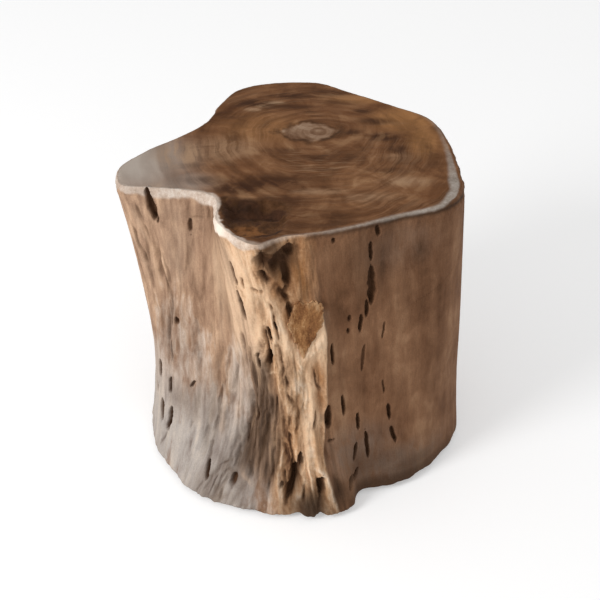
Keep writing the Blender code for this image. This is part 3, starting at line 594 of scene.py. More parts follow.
def strokes(ribs, heights, table, seed):
    """How far a table's strands or hollows reach out or in, and how strongly they show, over a grid."""
    reach = np.zeros(ribs.shape)
    shown = np.zeros(ribs.shape)
    for number, (half_width, size, strength, *places) in enumerate(table):
        half_width *= MM
        path = np.array(places) * (1, PERCENT)
        middle, rise = path.mean(axis=0)
        one_rib = rib_width(middle, rise)
        rim_width = half_width * STROKE_REACH
        span = np.abs(path[:, 0] - middle).max() + rim_width / one_rib
        low, high = path[:, 1].min() - rim_width / LOG_HEIGHT, path[:, 1].max() + rim_width / LOG_HEIGHT
        window = window_of(ribs, heights, middle, span, low, high)
        up = heights[window] * LOG_HEIGHT
        across = apart(ribs[window], middle) * one_rib
        spot = np.stack((across / 0.012, up / 0.030, np.full(up.shape, number * 5.3)), axis=-1)
        across = across + 0.0035 * noise(spot, seed) + 0.0012 * noise(spot * 3, seed + 1)
        points = np.stack((across, up), axis=-1)
        stations = (path - (middle, 0)) * (one_rib, LOG_HEIGHT)
        steps = np.diff(stations, axis=0)
        gap = gap_to(points, stations, steps)
        width = half_width * (1 + 0.45 * noise(spot * (1.5, 0.9, 1), seed + 2))
        bell = np.exp(-((gap / width) ** 2)) * smooth(-0.75, -0.10, noise(spot * (0.6, 1.6, 1), seed + 3))
        fade = min(STROKE_FADE, 0.3 * np.linalg.norm(steps, axis=1).sum())
        end_gap = np.minimum(*(np.linalg.norm(points - end, axis=-1) for end in (stations[0], stations[-1])))
        bell *= smooth(-0.4 * fade, fade, end_gap)
        reach[window] = np.maximum(reach[window], size * MM * bell)
        shown[window] = np.maximum(shown[window], strength * bell)
    return reach, shown


def along_grain(ribs, heights):
    """Rib places with the grain's bow taken out, which the left wall has."""
    round_wall = ribs % RIBS
    share = smooth(11.0, 13.5, round_wall) * (1 - smooth(17.0, 20.8, round_wall))
    below = np.clip(SWEEP_MIDDLE - heights, 0, None)
    above = np.clip(heights - SWEEP_MIDDLE, 0, None)
    return ribs + share * (FOOT_SWEEP * below**3 + SEAT_SWEEP * above**2)


def column_ribs():
    """Rib places of the mesh's columns: close together on the front, wider apart behind."""
    fine = np.linspace(0, RIBS, FINE_STEPS)
    steps = np.linalg.norm(np.diff(plain_wall(fine, 0.6), axis=0), axis=1)
    middles = (fine[1:] + fine[:-1]) / 2
    front = smooth(11.5, 13, middles) * (1 - smooth(24.5, 25.8, middles))
    travelled = np.concatenate(([0.0], np.cumsum(steps * (1 + 1.1 * front))))
    return np.interp(np.linspace(0, travelled[-1], COLUMNS, endpoint=False), travelled, fine)


def slits(ribs, heights):
    """How deep the slits and rot holes cut, and how dark the painted shade in them is, over a grid of wall
    places.
    """
    depth = np.zeros(ribs.shape)
    dark = np.zeros(ribs.shape)
    for number, (rib, height, length, width, lean, deep) in enumerate(np.array(SLITS) * SLIT_UNITS):
        one_rib = rib_width(rib, height)
        span = (width + abs(lean) * length) / one_rib
        rise = 0.75 * length / LOG_HEIGHT
        window = window_of(ribs, heights, rib, span, height - rise, height + rise)
        up = (heights[window] - height) * LOG_HEIGHT
        across = apart(ribs[window], rib) * one_rib - lean * up
        spot = np.stack((up / 0.011, across / 0.02, np.full(up.shape, number * 3.7)), axis=-1)
        across = across + width * 0.20 * noise(spot, 3)
        ragged = 1 + 0.18 * noise(spot * 2.1, 4)
        half = width / 2 * ragged * np.sqrt(np.clip(1 - np.abs(2 * up / length) ** 3, 0, 1)) + 1e-5
        inside = np.clip(1.2 - np.abs(across) / half, 0, 1)
        depth[window] = np.maximum(depth[window], deep * smooth(0, 0.80, inside))
        soft = 0.45 if width < WIDE_SLIT else 0.85
        # Painted shade inside, full where the slit is 7 mm deep or more
        dark[window] = np.maximum(dark[window], smooth(0.0, soft, inside) * min(1, deep / 0.007))
    return depth, dark


def bark_share(ribs, heights):
    """1 under the flake of bark, 0 a little way outside it."""
    across = apart(ribs, BARK_RIB) * rib_width(BARK_RIB, BARK_HEIGHT_SHARE, RIB_STEP) / BARK_SIZE[0]
    up = (heights - BARK_HEIGHT_SHARE) * LOG_HEIGHT / BARK_SIZE[1]
    near = (np.abs(across) < 0.7) & (np.abs(up) < 0.7)
    outline = closed_points(BARK_OUTLINE_SHARES, 120)
    turn = np.arctan2(outline[:, 1], outline[:, 0])
    order = np.argsort(turn)
    reaches = np.hypot(*outline[order].T)
    edge = np.interp(np.arctan2(up[near], across[near]), turn[order], reaches, period=2 * math.pi)
    share = np.zeros(ribs.shape)
    share[near] = 1 - smooth(0.94, 1.06, np.hypot(across[near], up[near]) / edge)
    return share


def wall_fields(ribs, heights):
    """The wall's carving in metres, and the masks that its colours follow, over a grid of places."""
    plan = plain_wall(ribs, WAIST_HEIGHT_SHARE)
    plan[..., 2] = heights * LOG_HEIGHT
    sway = 0.10 * noise(plan / (0.08, 0.08, 0.16), 1) + 0.035 * noise(plan / (0.025, 0.025, 0.06), 2)
    weather = np.interp(ribs % RIBS, WEATHER_RIBS, WEATHER_SHARES)
    swept = plain_wall(along_grain(ribs, heights) + sway * (0.4 + weather), WAIST_HEIGHT_SHARE)
    swept[..., 2] = plan[..., 2]
    broad = noise(swept / (0.055, 0.055, 0.30), 5)
    coarse = ridged(swept / (0.015, 0.015, 0.10), 6)
    middling = ridged(swept / (0.0075, 0.0075, 0.055), 7)
    fine = ridged(swept / (0.0036, 0.0036, 0.028), 8)
    furrow = 0.50 * coarse**2 * np.sign(coarse) + 0.32 * middling + 0.18 * fine

    # Where the rotten front ridge is, and the step back at its right edge
    edge = np.interp(heights, EDGE_HEIGHTS, EDGE_RIBS) + 0.06 * noise(plan / (1, 1, 0.03), 10)
    beyond = apart(ribs, edge)
    left = np.interp(heights, RIDGE_HEIGHTS, RIDGE_RIBS) + 0.35 * noise(plan / (0.02, 0.02, 0.05), 87)
    blend = 0.05 + 0.55 * smooth(0.68, 0.80, heights)
    front = smooth(-0.45, 0.45, apart(ribs, left)) * (1 - smooth(-blend, 0.05, beyond)) * (beyond < 0.1)
    drop = EDGE_DROP * smooth(-0.02, 0.07, beyond) * np.exp(-np.clip(beyond, 0, None) / 0.9)
    drop *= smooth(0.08, 0.2, heights) * (1 - smooth(0.82, 0.95, heights))

    def offsets(rib, height):
        return apart(ribs, rib), heights - height

    masks = {name: covered(table, WALL_PATCH_UNITS, offsets, 1.5) for name, table in WALL_PATCHES.items()}
    for name in ("tan", "cream", "gold"):
        masks[name] *= 1 - smooth(-0.02, 0.06, beyond) * (apart(ribs, 22) > -3)
    masks["gold"] *= 1 - 0.4 * smooth(-0.5, 0.0, beyond) * (beyond < 0.1) * smooth(0.72, 0.80, heights)

    # The carving
    bends = [noise(plan / (0.02, 0.02, 0.03), seed) for seed in (81, 82, 83)]
    bent = swept + 0.006 * np.stack(bends, axis=-1)
    crag = 0.50 * ridged(bent / (0.010, 0.010, 0.050), 84)
    crag += 0.32 * ridged(bent / (0.005, 0.005, 0.018), 85)
    crag += 0.40 * noise(bent / (0.0028, 0.0028, 0.008), 86) - 0.32
    proud, pale = strokes(ribs, heights, STRANDS, 51)
    worn, dim = strokes(ribs, heights, RECESSES, 61)
    bark = bark_share(ribs, heights)
    broken = 0.70 + 0.45 * crag
    # The ridge's tone: paler on its strands, and darker in its grooves and hollows, partly as painted shade
    crag = (1 - 0.55 * np.maximum(masks["cream"], masks["gold"])) * 0.85 * crag + 0.80 * pale - 1.15 * dim
    carved = 0.0010 + 0.0012 * broad + drop
    carved += weather * (0.0016 * coarse + 0.0010 * middling + 0.0005 * fine) * (1 - 0.5 * front)
    carved -= front * 0.0020 * np.clip(crag, -1.3, 1.3)
    carved += relief(ribs, heights, FINE_RELIEF_SHARES)
    carved += worn - 0.7 * proud * broken
    carved += (0.0015 - carved) * bark
    cut, dark = slits(ribs, heights)
    # A painted shadow line under the rim's lip, where a shallow groove is also cut
    below_rim = (1 - heights) * LOG_HEIGHT - rim("ease", ribs) * 1.05
    line = rim("line", ribs) * np.exp(-(((below_rim - 0.0016) / 0.0032) ** 2))
    carved += 0.0012 * line

    # The brown streaks left of the ridge
    ragged = 0.16 * noise(plan / (0.02, 0.02, 0.06), 91)
    start = np.interp(heights, BROWN_HEIGHTS, BROWN_RIBS)
    brown = smooth(-0.10, 0.14, apart(ribs, start) + ragged)
    brown *= 1 - smooth(-0.3, 0.3, apart(ribs, BROWN_END) + ragged)
    brown *= smooth(0.03, 0.16, heights + 0.1 * ragged) * (1 - smooth(0.54, 0.66, heights + 0.3 * ragged))
    masks |= {"crag": crag, "front": front, "recess": dim, "strand": pale * (1 - front), "rim_line": line}
    masks |= {"rim_warmth": rim("cream_and_highlight", ribs), "brown": brown, "furrow": furrow, "cavity": dark}
    masks |= {"weather": weather, "grain_across": swept[..., 0], "grain_deep": swept[..., 1]}
    return carved + cut * (1 - bark), masks


def hollow_depth(points):
    """The hollow's depth at points, how far they are inside its edge, and 1 at its rear, 0 at its front."""
    outline = closed_points(HOLLOW_OUTLINE_SHARES, 240) * HOLLOW_SIZE
    outline += np.array(HOLLOW_PLACE_SHARE) * (LOG_WIDTH, LOG_DEPTH)
    middle = outline.mean(0)
    level = points * (1, 1, 0)
    distance = np.full(points.shape[:-1], -1.0)
    near = np.nonzero(np.linalg.norm(points[..., :2] - middle, axis=-1) < 0.08)
    spots = points[near][:, :2]
    ends = np.roll(outline, -1, axis=0)
    gap = gap_to(spots, outline, ends - outline)
    turns = np.zeros(len(spots), int)
    for start, end in zip(outline, ends):
        crosses = (start[1] > spots[:, 1]) != (end[1] > spots[:, 1])
        where = start[0] + (spots[:, 1] - start[1]) / (end[1] - start[1] + 1e-12) * (end[0] - start[0])
        turns += crosses & (spots[:, 0] < where)
    distance[near] = np.where(turns % 2 == 1, gap, -gap)
    ragged = 0.0030 * noise(level / 0.012, 21) + 0.0014 * noise(level / 0.005, 22)
    distance = distance + ragged * (distance > -0.02)
    rear = smooth(-0.012, 0.012, points[..., 1] - middle[1] - 0.004)
    bowl = smooth(0, 0.012 + 0.012 * rear, distance)
    floor = 0.55 + 0.40 * rear + 0.12 * noise(level / 0.018, 23) + 0.05 * noise(level / 0.006, 24)
    return HOLLOW_DEPTH * bowl * floor, distance, rear


def seat_fields(points):
    """The seat's carving and colour masks at level points."""
    across, deep = points[..., 0], points[..., 1]
    level = points * (1, 1, 0)
    reach = np.where(deep > PITH[1], REAR_REACH, FRONT_REACH)
    ring = np.hypot((across - PITH[0]) / SIDE_REACH, (deep - PITH[1]) / reach)
    ring += 0.045 * noise(level / 0.08, 31)
    ring += 0.018 * noise(level / 0.025, 32) + 0.005 * noise(level / 0.009, 36)
    hollow, distance, rear = hollow_depth(points)
    waves = 0.00035 * noise(level / (0.05, 0.006, 1), 33) + 0.0003 * noise(level / 0.03, 34)

    def offsets(aside, behind):
        return across - aside, deep - behind

    masks = {name: covered(table, SEAT_PATCH_UNITS, offsets, 1.6) for name, table in SEAT_PATCHES.items()}
    masks["ring"] = ring
    frayed = distance + 0.004 * noise(level / (0.016, 0.006, 1), 25)
    # The hollow's colour reaches past its edge at the rear, over its far wall's painted shade
    masks["hollow"] = smooth(-0.002 - 0.007 * rear, 0.004, frayed)
    lens = np.abs((points[..., :2] - LENS_MIDDLE) / LENS_SIZE) ** 1.3
    masks["lens"] = lens.sum(-1) + 0.30 * noise(level / 0.016, 35) + 0.12 * noise(level / 0.005, 37)
    return hollow + 0.0004 + waves, masks


def set_floats(mesh, name, values):
    made = mesh.attributes.new(name, "FLOAT", "POINT")
    made.data.foreach_set("value", np.asarray(values, np.float32).ravel())


def ring_faces(first, second, count):
    """Quads between two loops of equal count, given by their first vertices."""
    here = np.arange(count)
    there = (here + 1) % count
    return np.stack((first + here, first + there, second + there, second + here), axis=1).tolist()


def band_faces(rows, count):
    """Quads between each loop and the next, where the loops follow one another from the first vertex."""
    return [face for row in range(rows - 1) for face in ring_faces(row * count, (row + 1) * count, count)]


def halving_faces(first, second, count):
    """Faces between a loop and one with half its count."""
    here = np.arange(count // 2)
    there = (here + 1) % (count // 2)
    left, middle, right = first + 2 * here, first + 2 * here + 1, first + 2 * there
    return [*zip(left, middle, second + here), *zip(middle, right, second + there, second + here)]


def lay_out(mesh, materials, grid, heights):
    """Gives each corner its place on the baked image: the wall below, the seat and the foot above it."""
    corner = np.zeros(len(mesh.loops), np.int32)
    mesh.loops.foreach_get("vertex_index", corner)
    sizes = np.zeros(len(mesh.polygons), np.int32)
    mesh.polygons.foreach_get("loop_total", sizes)
    kind = np.repeat(materials, sizes)
    points = np.zeros(len(mesh.vertices) * 3)
    mesh.vertices.foreach_get("co", points)
    level = points.reshape(-1, 3)[corner][:, :2] + LEVEL_SHIFT
    on_seat = (kind == 1)[:, None]
    uvs = np.where(on_seat, SEAT_CORNER + level * SEAT_SCALE, FOOT_CORNER + level * FOOT_SCALE)
    on_wall = np.nonzero(kind == 0)[0]
    at = corner[on_wall]
    column = at % COLUMNS
    across = column.astype(float)
    first = np.repeat(at.reshape(-1, 4).min(axis=1) % COLUMNS, 4)
    last = np.repeat(column.reshape(-1, 4).max(axis=1), 4)
    across[(first == 0) & (last == COLUMNS - 1) & (across == 0)] = COLUMNS
    up = np.broadcast_to(heights, grid.shape).ravel()[at]
    uvs[on_wall] = WALL_STRIP_LEFT + np.stack((across / COLUMNS, up), axis=-1) * WALL_STRIP_SIZE
    mesh.uv_layers.new(name="OFBake").data.foreach_set("uv", uvs.astype(np.float32).ravel())


def trunk_mesh():
    ribs = column_ribs()
    ease = rim("ease", ribs)
    blocks = []

    def keep(points, fields):
        """Stores a block of vertices with its fields, and returns its first vertex."""
        first = sum(len(block[0]) for block in blocks)
        blocks.append((points.reshape(-1, 3), fields))
        return first

    # The wall: rows up from the eased edge of the foot to the worn rim
    turns = np.linspace(0, math.pi / 2, EASE_ROWS + 1)[:, None]
    part = turns / (math.pi / 2)
    foot_edge = plain_wall(ribs, 0)
    chips = 0.45 * noise(foot_edge / 0.022, 47) + 0.14 * noise(foot_edge / 0.008, 48)
    foot_ease = FOOT_EASE * (1 + chips)
    rise = np.linspace(0, 1, WALL_ROWS + 1)[1:-1, None]
    plain_heights = foot_ease + rise * (LOG_HEIGHT - foot_ease - ease)
    rim_heights = LOG_HEIGHT - ease * (1 - 0.4 * np.sin(turns) - 0.6 * part)
    rim_insets = ease * RIM_INSET_SHARE * (0.4 * (1 - np.cos(turns)) + 0.6 * part)
    heights = np.concatenate((foot_ease * (1 - np.cos(turns)), plain_heights, rim_heights)) / LOG_HEIGHT
    insets = np.concatenate((foot_ease * (1 - np.sin(turns)), np.zeros(plain_heights.shape), rim_insets))
    grid = np.broadcast_to(ribs, heights.shape)
    carved, fields = wall_fields(grid, heights)
    base = relief(grid, heights, RELIEF_SHARES)
    toward_seat = smooth(0, 1, insets / (ease * RIM_INSET_SHARE)) * (heights > 0.5)
    plain = plain_wall(grid, heights)
    wobble = 0.0016 * noise(plain / 0.018, 41) + 0.0009 * noise(plain / 0.006, 43)
    wobble *= smooth(0.93, 0.97, heights)
    wobble += 0.0028 * chips * (1 - smooth(0, 0.06, heights))
    taken = base + (carved + wobble) * (1 - toward_seat * 0.6) + insets
    wall = plain - outward(grid, heights) * taken[..., None]
    frayed = 1 + 0.70 * noise(plain / (0.024, 0.024, 1), 42) + 0.16 * noise(plain / (0.009, 0.009, 0.03), 44)
    past = rim("drop", ribs) * frayed - (1 - heights) * LOG_HEIGHT
    fields["rim"] = smooth(-0.0026, 0.0020, past) * rim("share", ribs)
    keep(wall, fields)
    rows = len(heights)
    faces = band_faces(rows, COLUMNS)
    materials = [0] * len(faces)

    # The seat: rings towards the middle, with half as many columns in the inner ones
    inset = ease * RIM_INSET_SHARE + base[-1] + 0.0006
    outline = plain_wall(ribs, 1.0) - outward(ribs, 1.0) * inset[:, None]
    offset = wall[-1] - outline
    middle = np.array((*SEAT_MIDDLE, SEAT_HEIGHT))
    shares = np.linspace(1, COARSE_SHARE, SEAT_RINGS + 1)[1:]
    inner = np.linspace(COARSE_SHARE, LAST_SHARE, SEAT_COARSE_RINGS + 1)[1:]
    loop, count = (rows - 1) * COLUMNS, COLUMNS
    for number, share in enumerate((*shares, *inner)):
        halvings = (number >= SEAT_RINGS) + (number >= SEAT_RINGS + SEAT_COARSE_RINGS // 2)
        next_count = COLUMNS // 2**halvings
        step = 2**halvings
        ring = middle + (outline[::step] - middle) * share
        inset = np.linalg.norm(outline[::step, :2] - ring[:, :2], axis=1)
        ring += offset[::step] * np.exp(-((inset / 0.005) ** 2))[:, None]
        carve, seat = seat_fields(ring)
        ring[:, 2] = SEAT_HEIGHT - carve * smooth(0, 0.004, inset)
        level = ring * (1, 1, 0)
        here = ribs[::step]
        # How cream the rim's band is and how bright its painted highlight; the band's edge frays more where
        # it is high
        torn = rim("cream_and_highlight", here)
        frayed = 1 + (0.25 + 0.35 * torn) * noise(level / 0.022, 45)
        frayed += (0.05 + 0.50 * torn) * noise(level / 0.008, 46)
        soft = 0.0034 - 0.0014 * smooth(0.95, 1.10, torn)
        band = smooth(-soft, soft, rim("end", here) * frayed - inset)
        band *= smooth(-0.0014, 0.0014, inset - rim("start", here))
        seat["rim"] = band * rim("share", here)
        seat["rim_warmth"] = torn
        start = keep(ring, seat)
        faces += ring_faces(loop, start, count) if next_count == count else halving_faces(loop, start, count)
        loop, count = start, next_count
    faces.append(tuple(range(loop, loop + count)))
    materials += [1] * (len(faces) - len(materials))

    # The underside
    loop = 0
    centre = np.array((0.0, 0.0, LOG_BASE))
    for share in np.linspace(1, FOOT_LAST_SHARE, FOOT_RINGS + 1)[1:]:
        start = keep(centre + (wall[0] - centre) * share, {})
        faces += ring_faces(start, loop, COLUMNS)
        loop = start
    faces.append(tuple(range(loop + COLUMNS - 1, loop - 1, -1)))
    materials += [2] * (len(faces) - len(materials))

    mesh = bpy.data.meshes.new("log")
    mesh.from_pydata(np.concatenate([points for points, _ in blocks]).tolist(), [], faces)
    mesh.polygons.foreach_set("material_index", materials)
    for name in sorted({name for _, fields in blocks for name in fields}):
        values = [np.ravel(fields.get(name, np.zeros(len(points)))) for points, fields in blocks]
        set_floats(mesh, name, np.concatenate(values))
    lay_out(mesh, materials, grid, heights)
    mesh.shade_smooth()
    mesh.update()
    return mesh


class Nodes:
    """Makes and links the nodes of one material or world."""

    def __init__(self, tree):
        self.tree = tree

    def plug(self, socket, value):
        """Links a socket, or sets its value, which for a colour is written as it looks on screen."""
        if isinstance(value, bpy.types.NodeSocket):
            self.tree.links.new(value, socket)
        else:
            socket.default_value = (*linear(value), 1) if isinstance(value, str) else value

    def node(self, kind, inputs=None, **settings):
        made = self.tree.nodes.new("ShaderNode" + kind)
        for name, value in settings.items():
            setattr(made, name, value)
        for key, value in (inputs or {}).items():
            self.plug(made.inputs[key], value)
        return made

    def maths(self, operation, first, second, third=0.0):
        return self.node("Math", {0: first, 1: second, 2: third}, operation=operation).outputs[0]

    def times(self, first, second):
        return self.maths("MULTIPLY", first, second)

    def plus(self, first, second):
        return self.maths("ADD", first, second)

    def total(self, *parts):
        """The sum of values, each followed by its weight."""
        made = 0.0
        for value, weight in zip(parts[::2], parts[1::2]):
            made = self.maths("MULTIPLY_ADD", value, weight, made)
        return made

    def mix(self, share, first, second, blend="MIX"):
        inputs = {0: share, 6: first, 7: second}
        return self.node("Mix", inputs, data_type="RGBA", blend_type=blend).outputs[2]

    def ramp(self, value, low, high, to_low=0.0, to_high=1.0):
        inputs = {"Value": value, "From Min": low, "From Max": high, "To Min": to_low, "To Max": to_high}
        return self.node("MapRange", inputs, clamp=True).outputs["Result"]

    def stops(self, value, low, high, codes):
        """Colours spread evenly over a value from low to high."""
        made = self.node("ValToRGB", {"Fac": self.ramp(value, low, high)})
        first, *between, last = (linear(code) for code in codes.split())
        band = made.color_ramp.elements
        band[0].color = (*first, 1)
        band[1].color = (*last, 1)
        for number, colour in enumerate(between, 1):
            band.new(number / (len(between) + 1)).color = (*colour, 1)
        return made.outputs[0]

    def noise(self, vector, scale, detail=3.0, roughness=0.55, distortion=0.0):
        inputs = {"Vector": vector, "Scale": scale, "Detail": detail, "Roughness": roughness}
        return self.node("TexNoise", inputs | {"Distortion": distortion}).outputs[0]

    def stretched(self, vector, *scale):
        return self.node("Mapping", {"Vector": vector, "Scale": scale}).outputs[0]

    def split(self, vector):
        return self.node("SeparateXYZ", {0: vector}).outputs

    def joined(self, *parts):
        return self.node("CombineXYZ", dict(enumerate(parts))).outputs[0]


class Look(Nodes):
    """A material in the making: its shader, and the colour laid down so far."""

    def __init__(self, name, specular=0.15):
        self.material = bpy.data.materials.new(name)
        self.material.use_nodes = True
        super().__init__(self.material.node_tree)
        self.shader = self.tree.nodes["Principled BSDF"]
        self.colour = None
        self.set("Specular IOR Level", specular)

    @property
    def place(self):
        """The place on the object, in metres."""
        return self.node("TexCoord").outputs["Object"]

    def set(self, name, value):
        self.plug(self.shader.inputs[name], value)

    def mask(self, name):
        """One of the mesh's fields."""
        return self.node("Attribute", attribute_name=name).outputs["Fac"]

    def over(self, share, colour):
        """Lays a colour over the one that is there."""
        self.colour = self.mix(share, self.colour, colour)

    def grit(self, share):
        """Roughens the colour with grit about a millimetre across."""
        self.colour = self.mix(share, self.colour, self.noise(self.place, 750.0, 3.0, 0.7), "OVERLAY")

    def finish(self, roughness, height, strength, distance):
        """Joins the colour, the roughness and a bump to the shader."""
        self.set("Base Color", self.colour)
        self.set("Roughness", roughness)
        bump = self.node("Bump", {"Strength": strength, "Distance": distance, "Height": height})
        self.set("Normal", bump.outputs[0])
        return self.material


def rim_colour(look, grain):
    """Cream where the rim is worn round at the left, grey along its right: pale sapwood with a painted
    highlight where the eased edge catches the light.
    """
    shade = look.total(look.noise(grain, 60.0), 0.5, look.noise(look.place, 240.0), 0.5)
    cream_and_highlight = look.mask("rim_warmth")
    warm = look.stops(shade, 0.34, 0.64, "bca796 d4c0b0 e6d8cb")
    # A near white painted highlight where the rim is most cream, at the notch
    warm = look.mix(look.ramp(cream_and_highlight, 0.95, 1.30), warm, "f5e5d5")
    cool = look.stops(shade, 0.30, 0.68, "8a7f74 a2988e b7aea5")
    return look.mix(cream_and_highlight, cool, warm)


def wall_material():
    look = Look("weathered_wall")
    mask, ramp, stops = look.mask, look.ramp, look.stops
    times, total, over = look.times, look.total, look.over
    place = look.place
    up = look.split(place)[2]
    grain = look.joined(mask("grain_across"), mask("grain_deep"), times(up, GRAIN_SQUEEZE))
    wide = look.noise(grain, 70.0, 2.0)
    broad = look.noise(grain, 32.0, 2.0)
    band = look.noise(grain, 125.0, 2.0)
    streak = look.noise(grain, 210.0, 4.0, 0.62)
    thread = look.noise(grain, 700.0, 3.0, 0.6)
    blot = look.noise(place, 16.0)
    mottle = look.noise(place, 260.0, 3.0, 0.6)
    dapple = look.noise(look.stretched(grain, 1.0, 1.0, 2.2), 110.0, 4.0, 0.6, 0.4)
    cloud = look.noise(look.stretched(place, 1.0, 1.0, 0.45), 60.0, 4.0, 0.6, 0.6)
    furrow = mask("furrow")

    # The smooth right side and back
    shade = total(broad, 0.34, blot, 0.30, wide, 0.12, cloud, 0.26, thread, 0.04)
    shade = look.plus(shade, ramp(up, 0.24, 0.42, 0.0, -0.06))
    look.colour = stops(shade, 0.36, 0.68, "50341f 765239 8d674b ab8464")

    # The tan, streaked left side
    shade = total(broad, 0.20, wide, 0.16, band, 0.14, dapple, 0.30, cloud, 0.22, streak, 0.06, furrow, -0.06)
    sunny = stops(shade, 0.36, 0.66, "735743 947660 ae8d74 c7a487 dcbb9d")
    over(times(mask("tan"), ramp(blot, 0.25, 0.55, 0.8, 1.0)), sunny)

    # Its greyer foot
    shade = total(broad, 0.26, wide, 0.16, band, 0.18, dapple, 0.12, cloud, 0.22, streak, 0.08, blot, 0.06)
    dusty = stops(shade, 0.40, 0.66, "82766d 9e928a b0a69e bdb1a6 cabaaa")
    upper = stops(shade, 0.38, 0.64, "807065 9d8b7e b4a193 c5b2a2 d3c0b0")
    uneven = total(dapple, 1.1, wide, 0.7, cloud, 0.6)
    dusty = look.mix(ramp(look.maths("MULTIPLY_ADD", uneven, 0.08, up), 0.17, 0.27), dusty, upper)
    dusty = look.mix(ramp(thread, 0.58, 0.70, 0.0, 0.35), dusty, "8b7d73")
    grey = mask("grey")
    over(times(ramp(look.plus(grey, uneven), 1.45, 1.90), ramp(grey, 0.02, 0.15)), dusty)

    # Brown, deeply streaked wood beside the ridge, grey-brown smears with painted shade near the foot, and
    # worn strands
    brown = mask("brown")
    shade = total(wide, 0.30, band, 0.42, streak, 0.14, dapple, 0.14, furrow, -0.06)
    over(brown, stops(shade, 0.38, 0.64, "48372b 624c3c 7b6351 94785f b5967b"))
    # Grey-brown smears, and painted shade near the foot
    over(times(mask("smudge"), ramp(cloud, 0.35, 0.60, 0.3, 1.0)), "78685c")
    over(times(mask("strand"), 0.55), "d3b498")

    # The rotten, flaking front ridge
    shade = total(mask("crag"), 0.85, streak, 0.5, mottle, 0.7, cloud, 0.5, brown, -0.30)
    over(mask("front"), stops(shade, -0.35, 1.55, "38251a 603e29 8d6648 b58963 d0a680 e3bf9c f0d4b8"))
    # Pale cream, brightened to make up for the shade right of the bark flake, where the wall faces away from
    # the lamp: partly painted light
    cream = times(mask("cream"), ramp(shade, 0.20, 0.80, 0.15, 0.90))
    over(cream, "f6d2ae")
    gold = times(mask("gold"), ramp(total(wide, 0.5, cloud, 0.5), 0.40, 0.55, 0.6, 1.0))
    over(gold, stops(shade, -0.35, 1.75, "3d2413 6a4126 8f5f38 ad7a4c cb9a68"))

    # Grooves, stains with painted shade along the foot, the rim with its painted shadow line, and painted
    # shade in the holes
    groove = times(ramp(furrow, 0.35, 0.95), times(mask("weather"), ramp(cream, 0.2, 0.8, 0.55, 0.12)))
    over(groove, GROOVE_BROWN)
    # Brown in the worn grooves and hollows, partly painted shade in them
    over(times(mask("recess"), ramp(streak, 0.3, 0.6, 0.9, 0.5)), "48321f")
    # Stains, and painted shade along the bottom of the wall
    over(times(mask("stain"), ramp(blot, 0.25, 0.5, 0.6, 0.95)), STAIN_AND_SHADOW_BROWN)
    # The rim's pale band: sapwood with a painted highlight
    over(mask("rim"), rim_colour(look, grain))
    # The painted shadow line under the rim
    over(times(mask("rim_line"), 0.9), STAIN_AND_SHADOW_BROWN)
    # Painted shade inside the slits and rot holes
    over(mask("cavity"), "553a27")
    look.grit(0.45)
    height = total(streak, 0.7, thread, 0.4, mottle, 0.3)
    return look.finish(ramp(thread, 0.3, 0.7, 0.66, 0.86), height, 0.6, 0.0010)


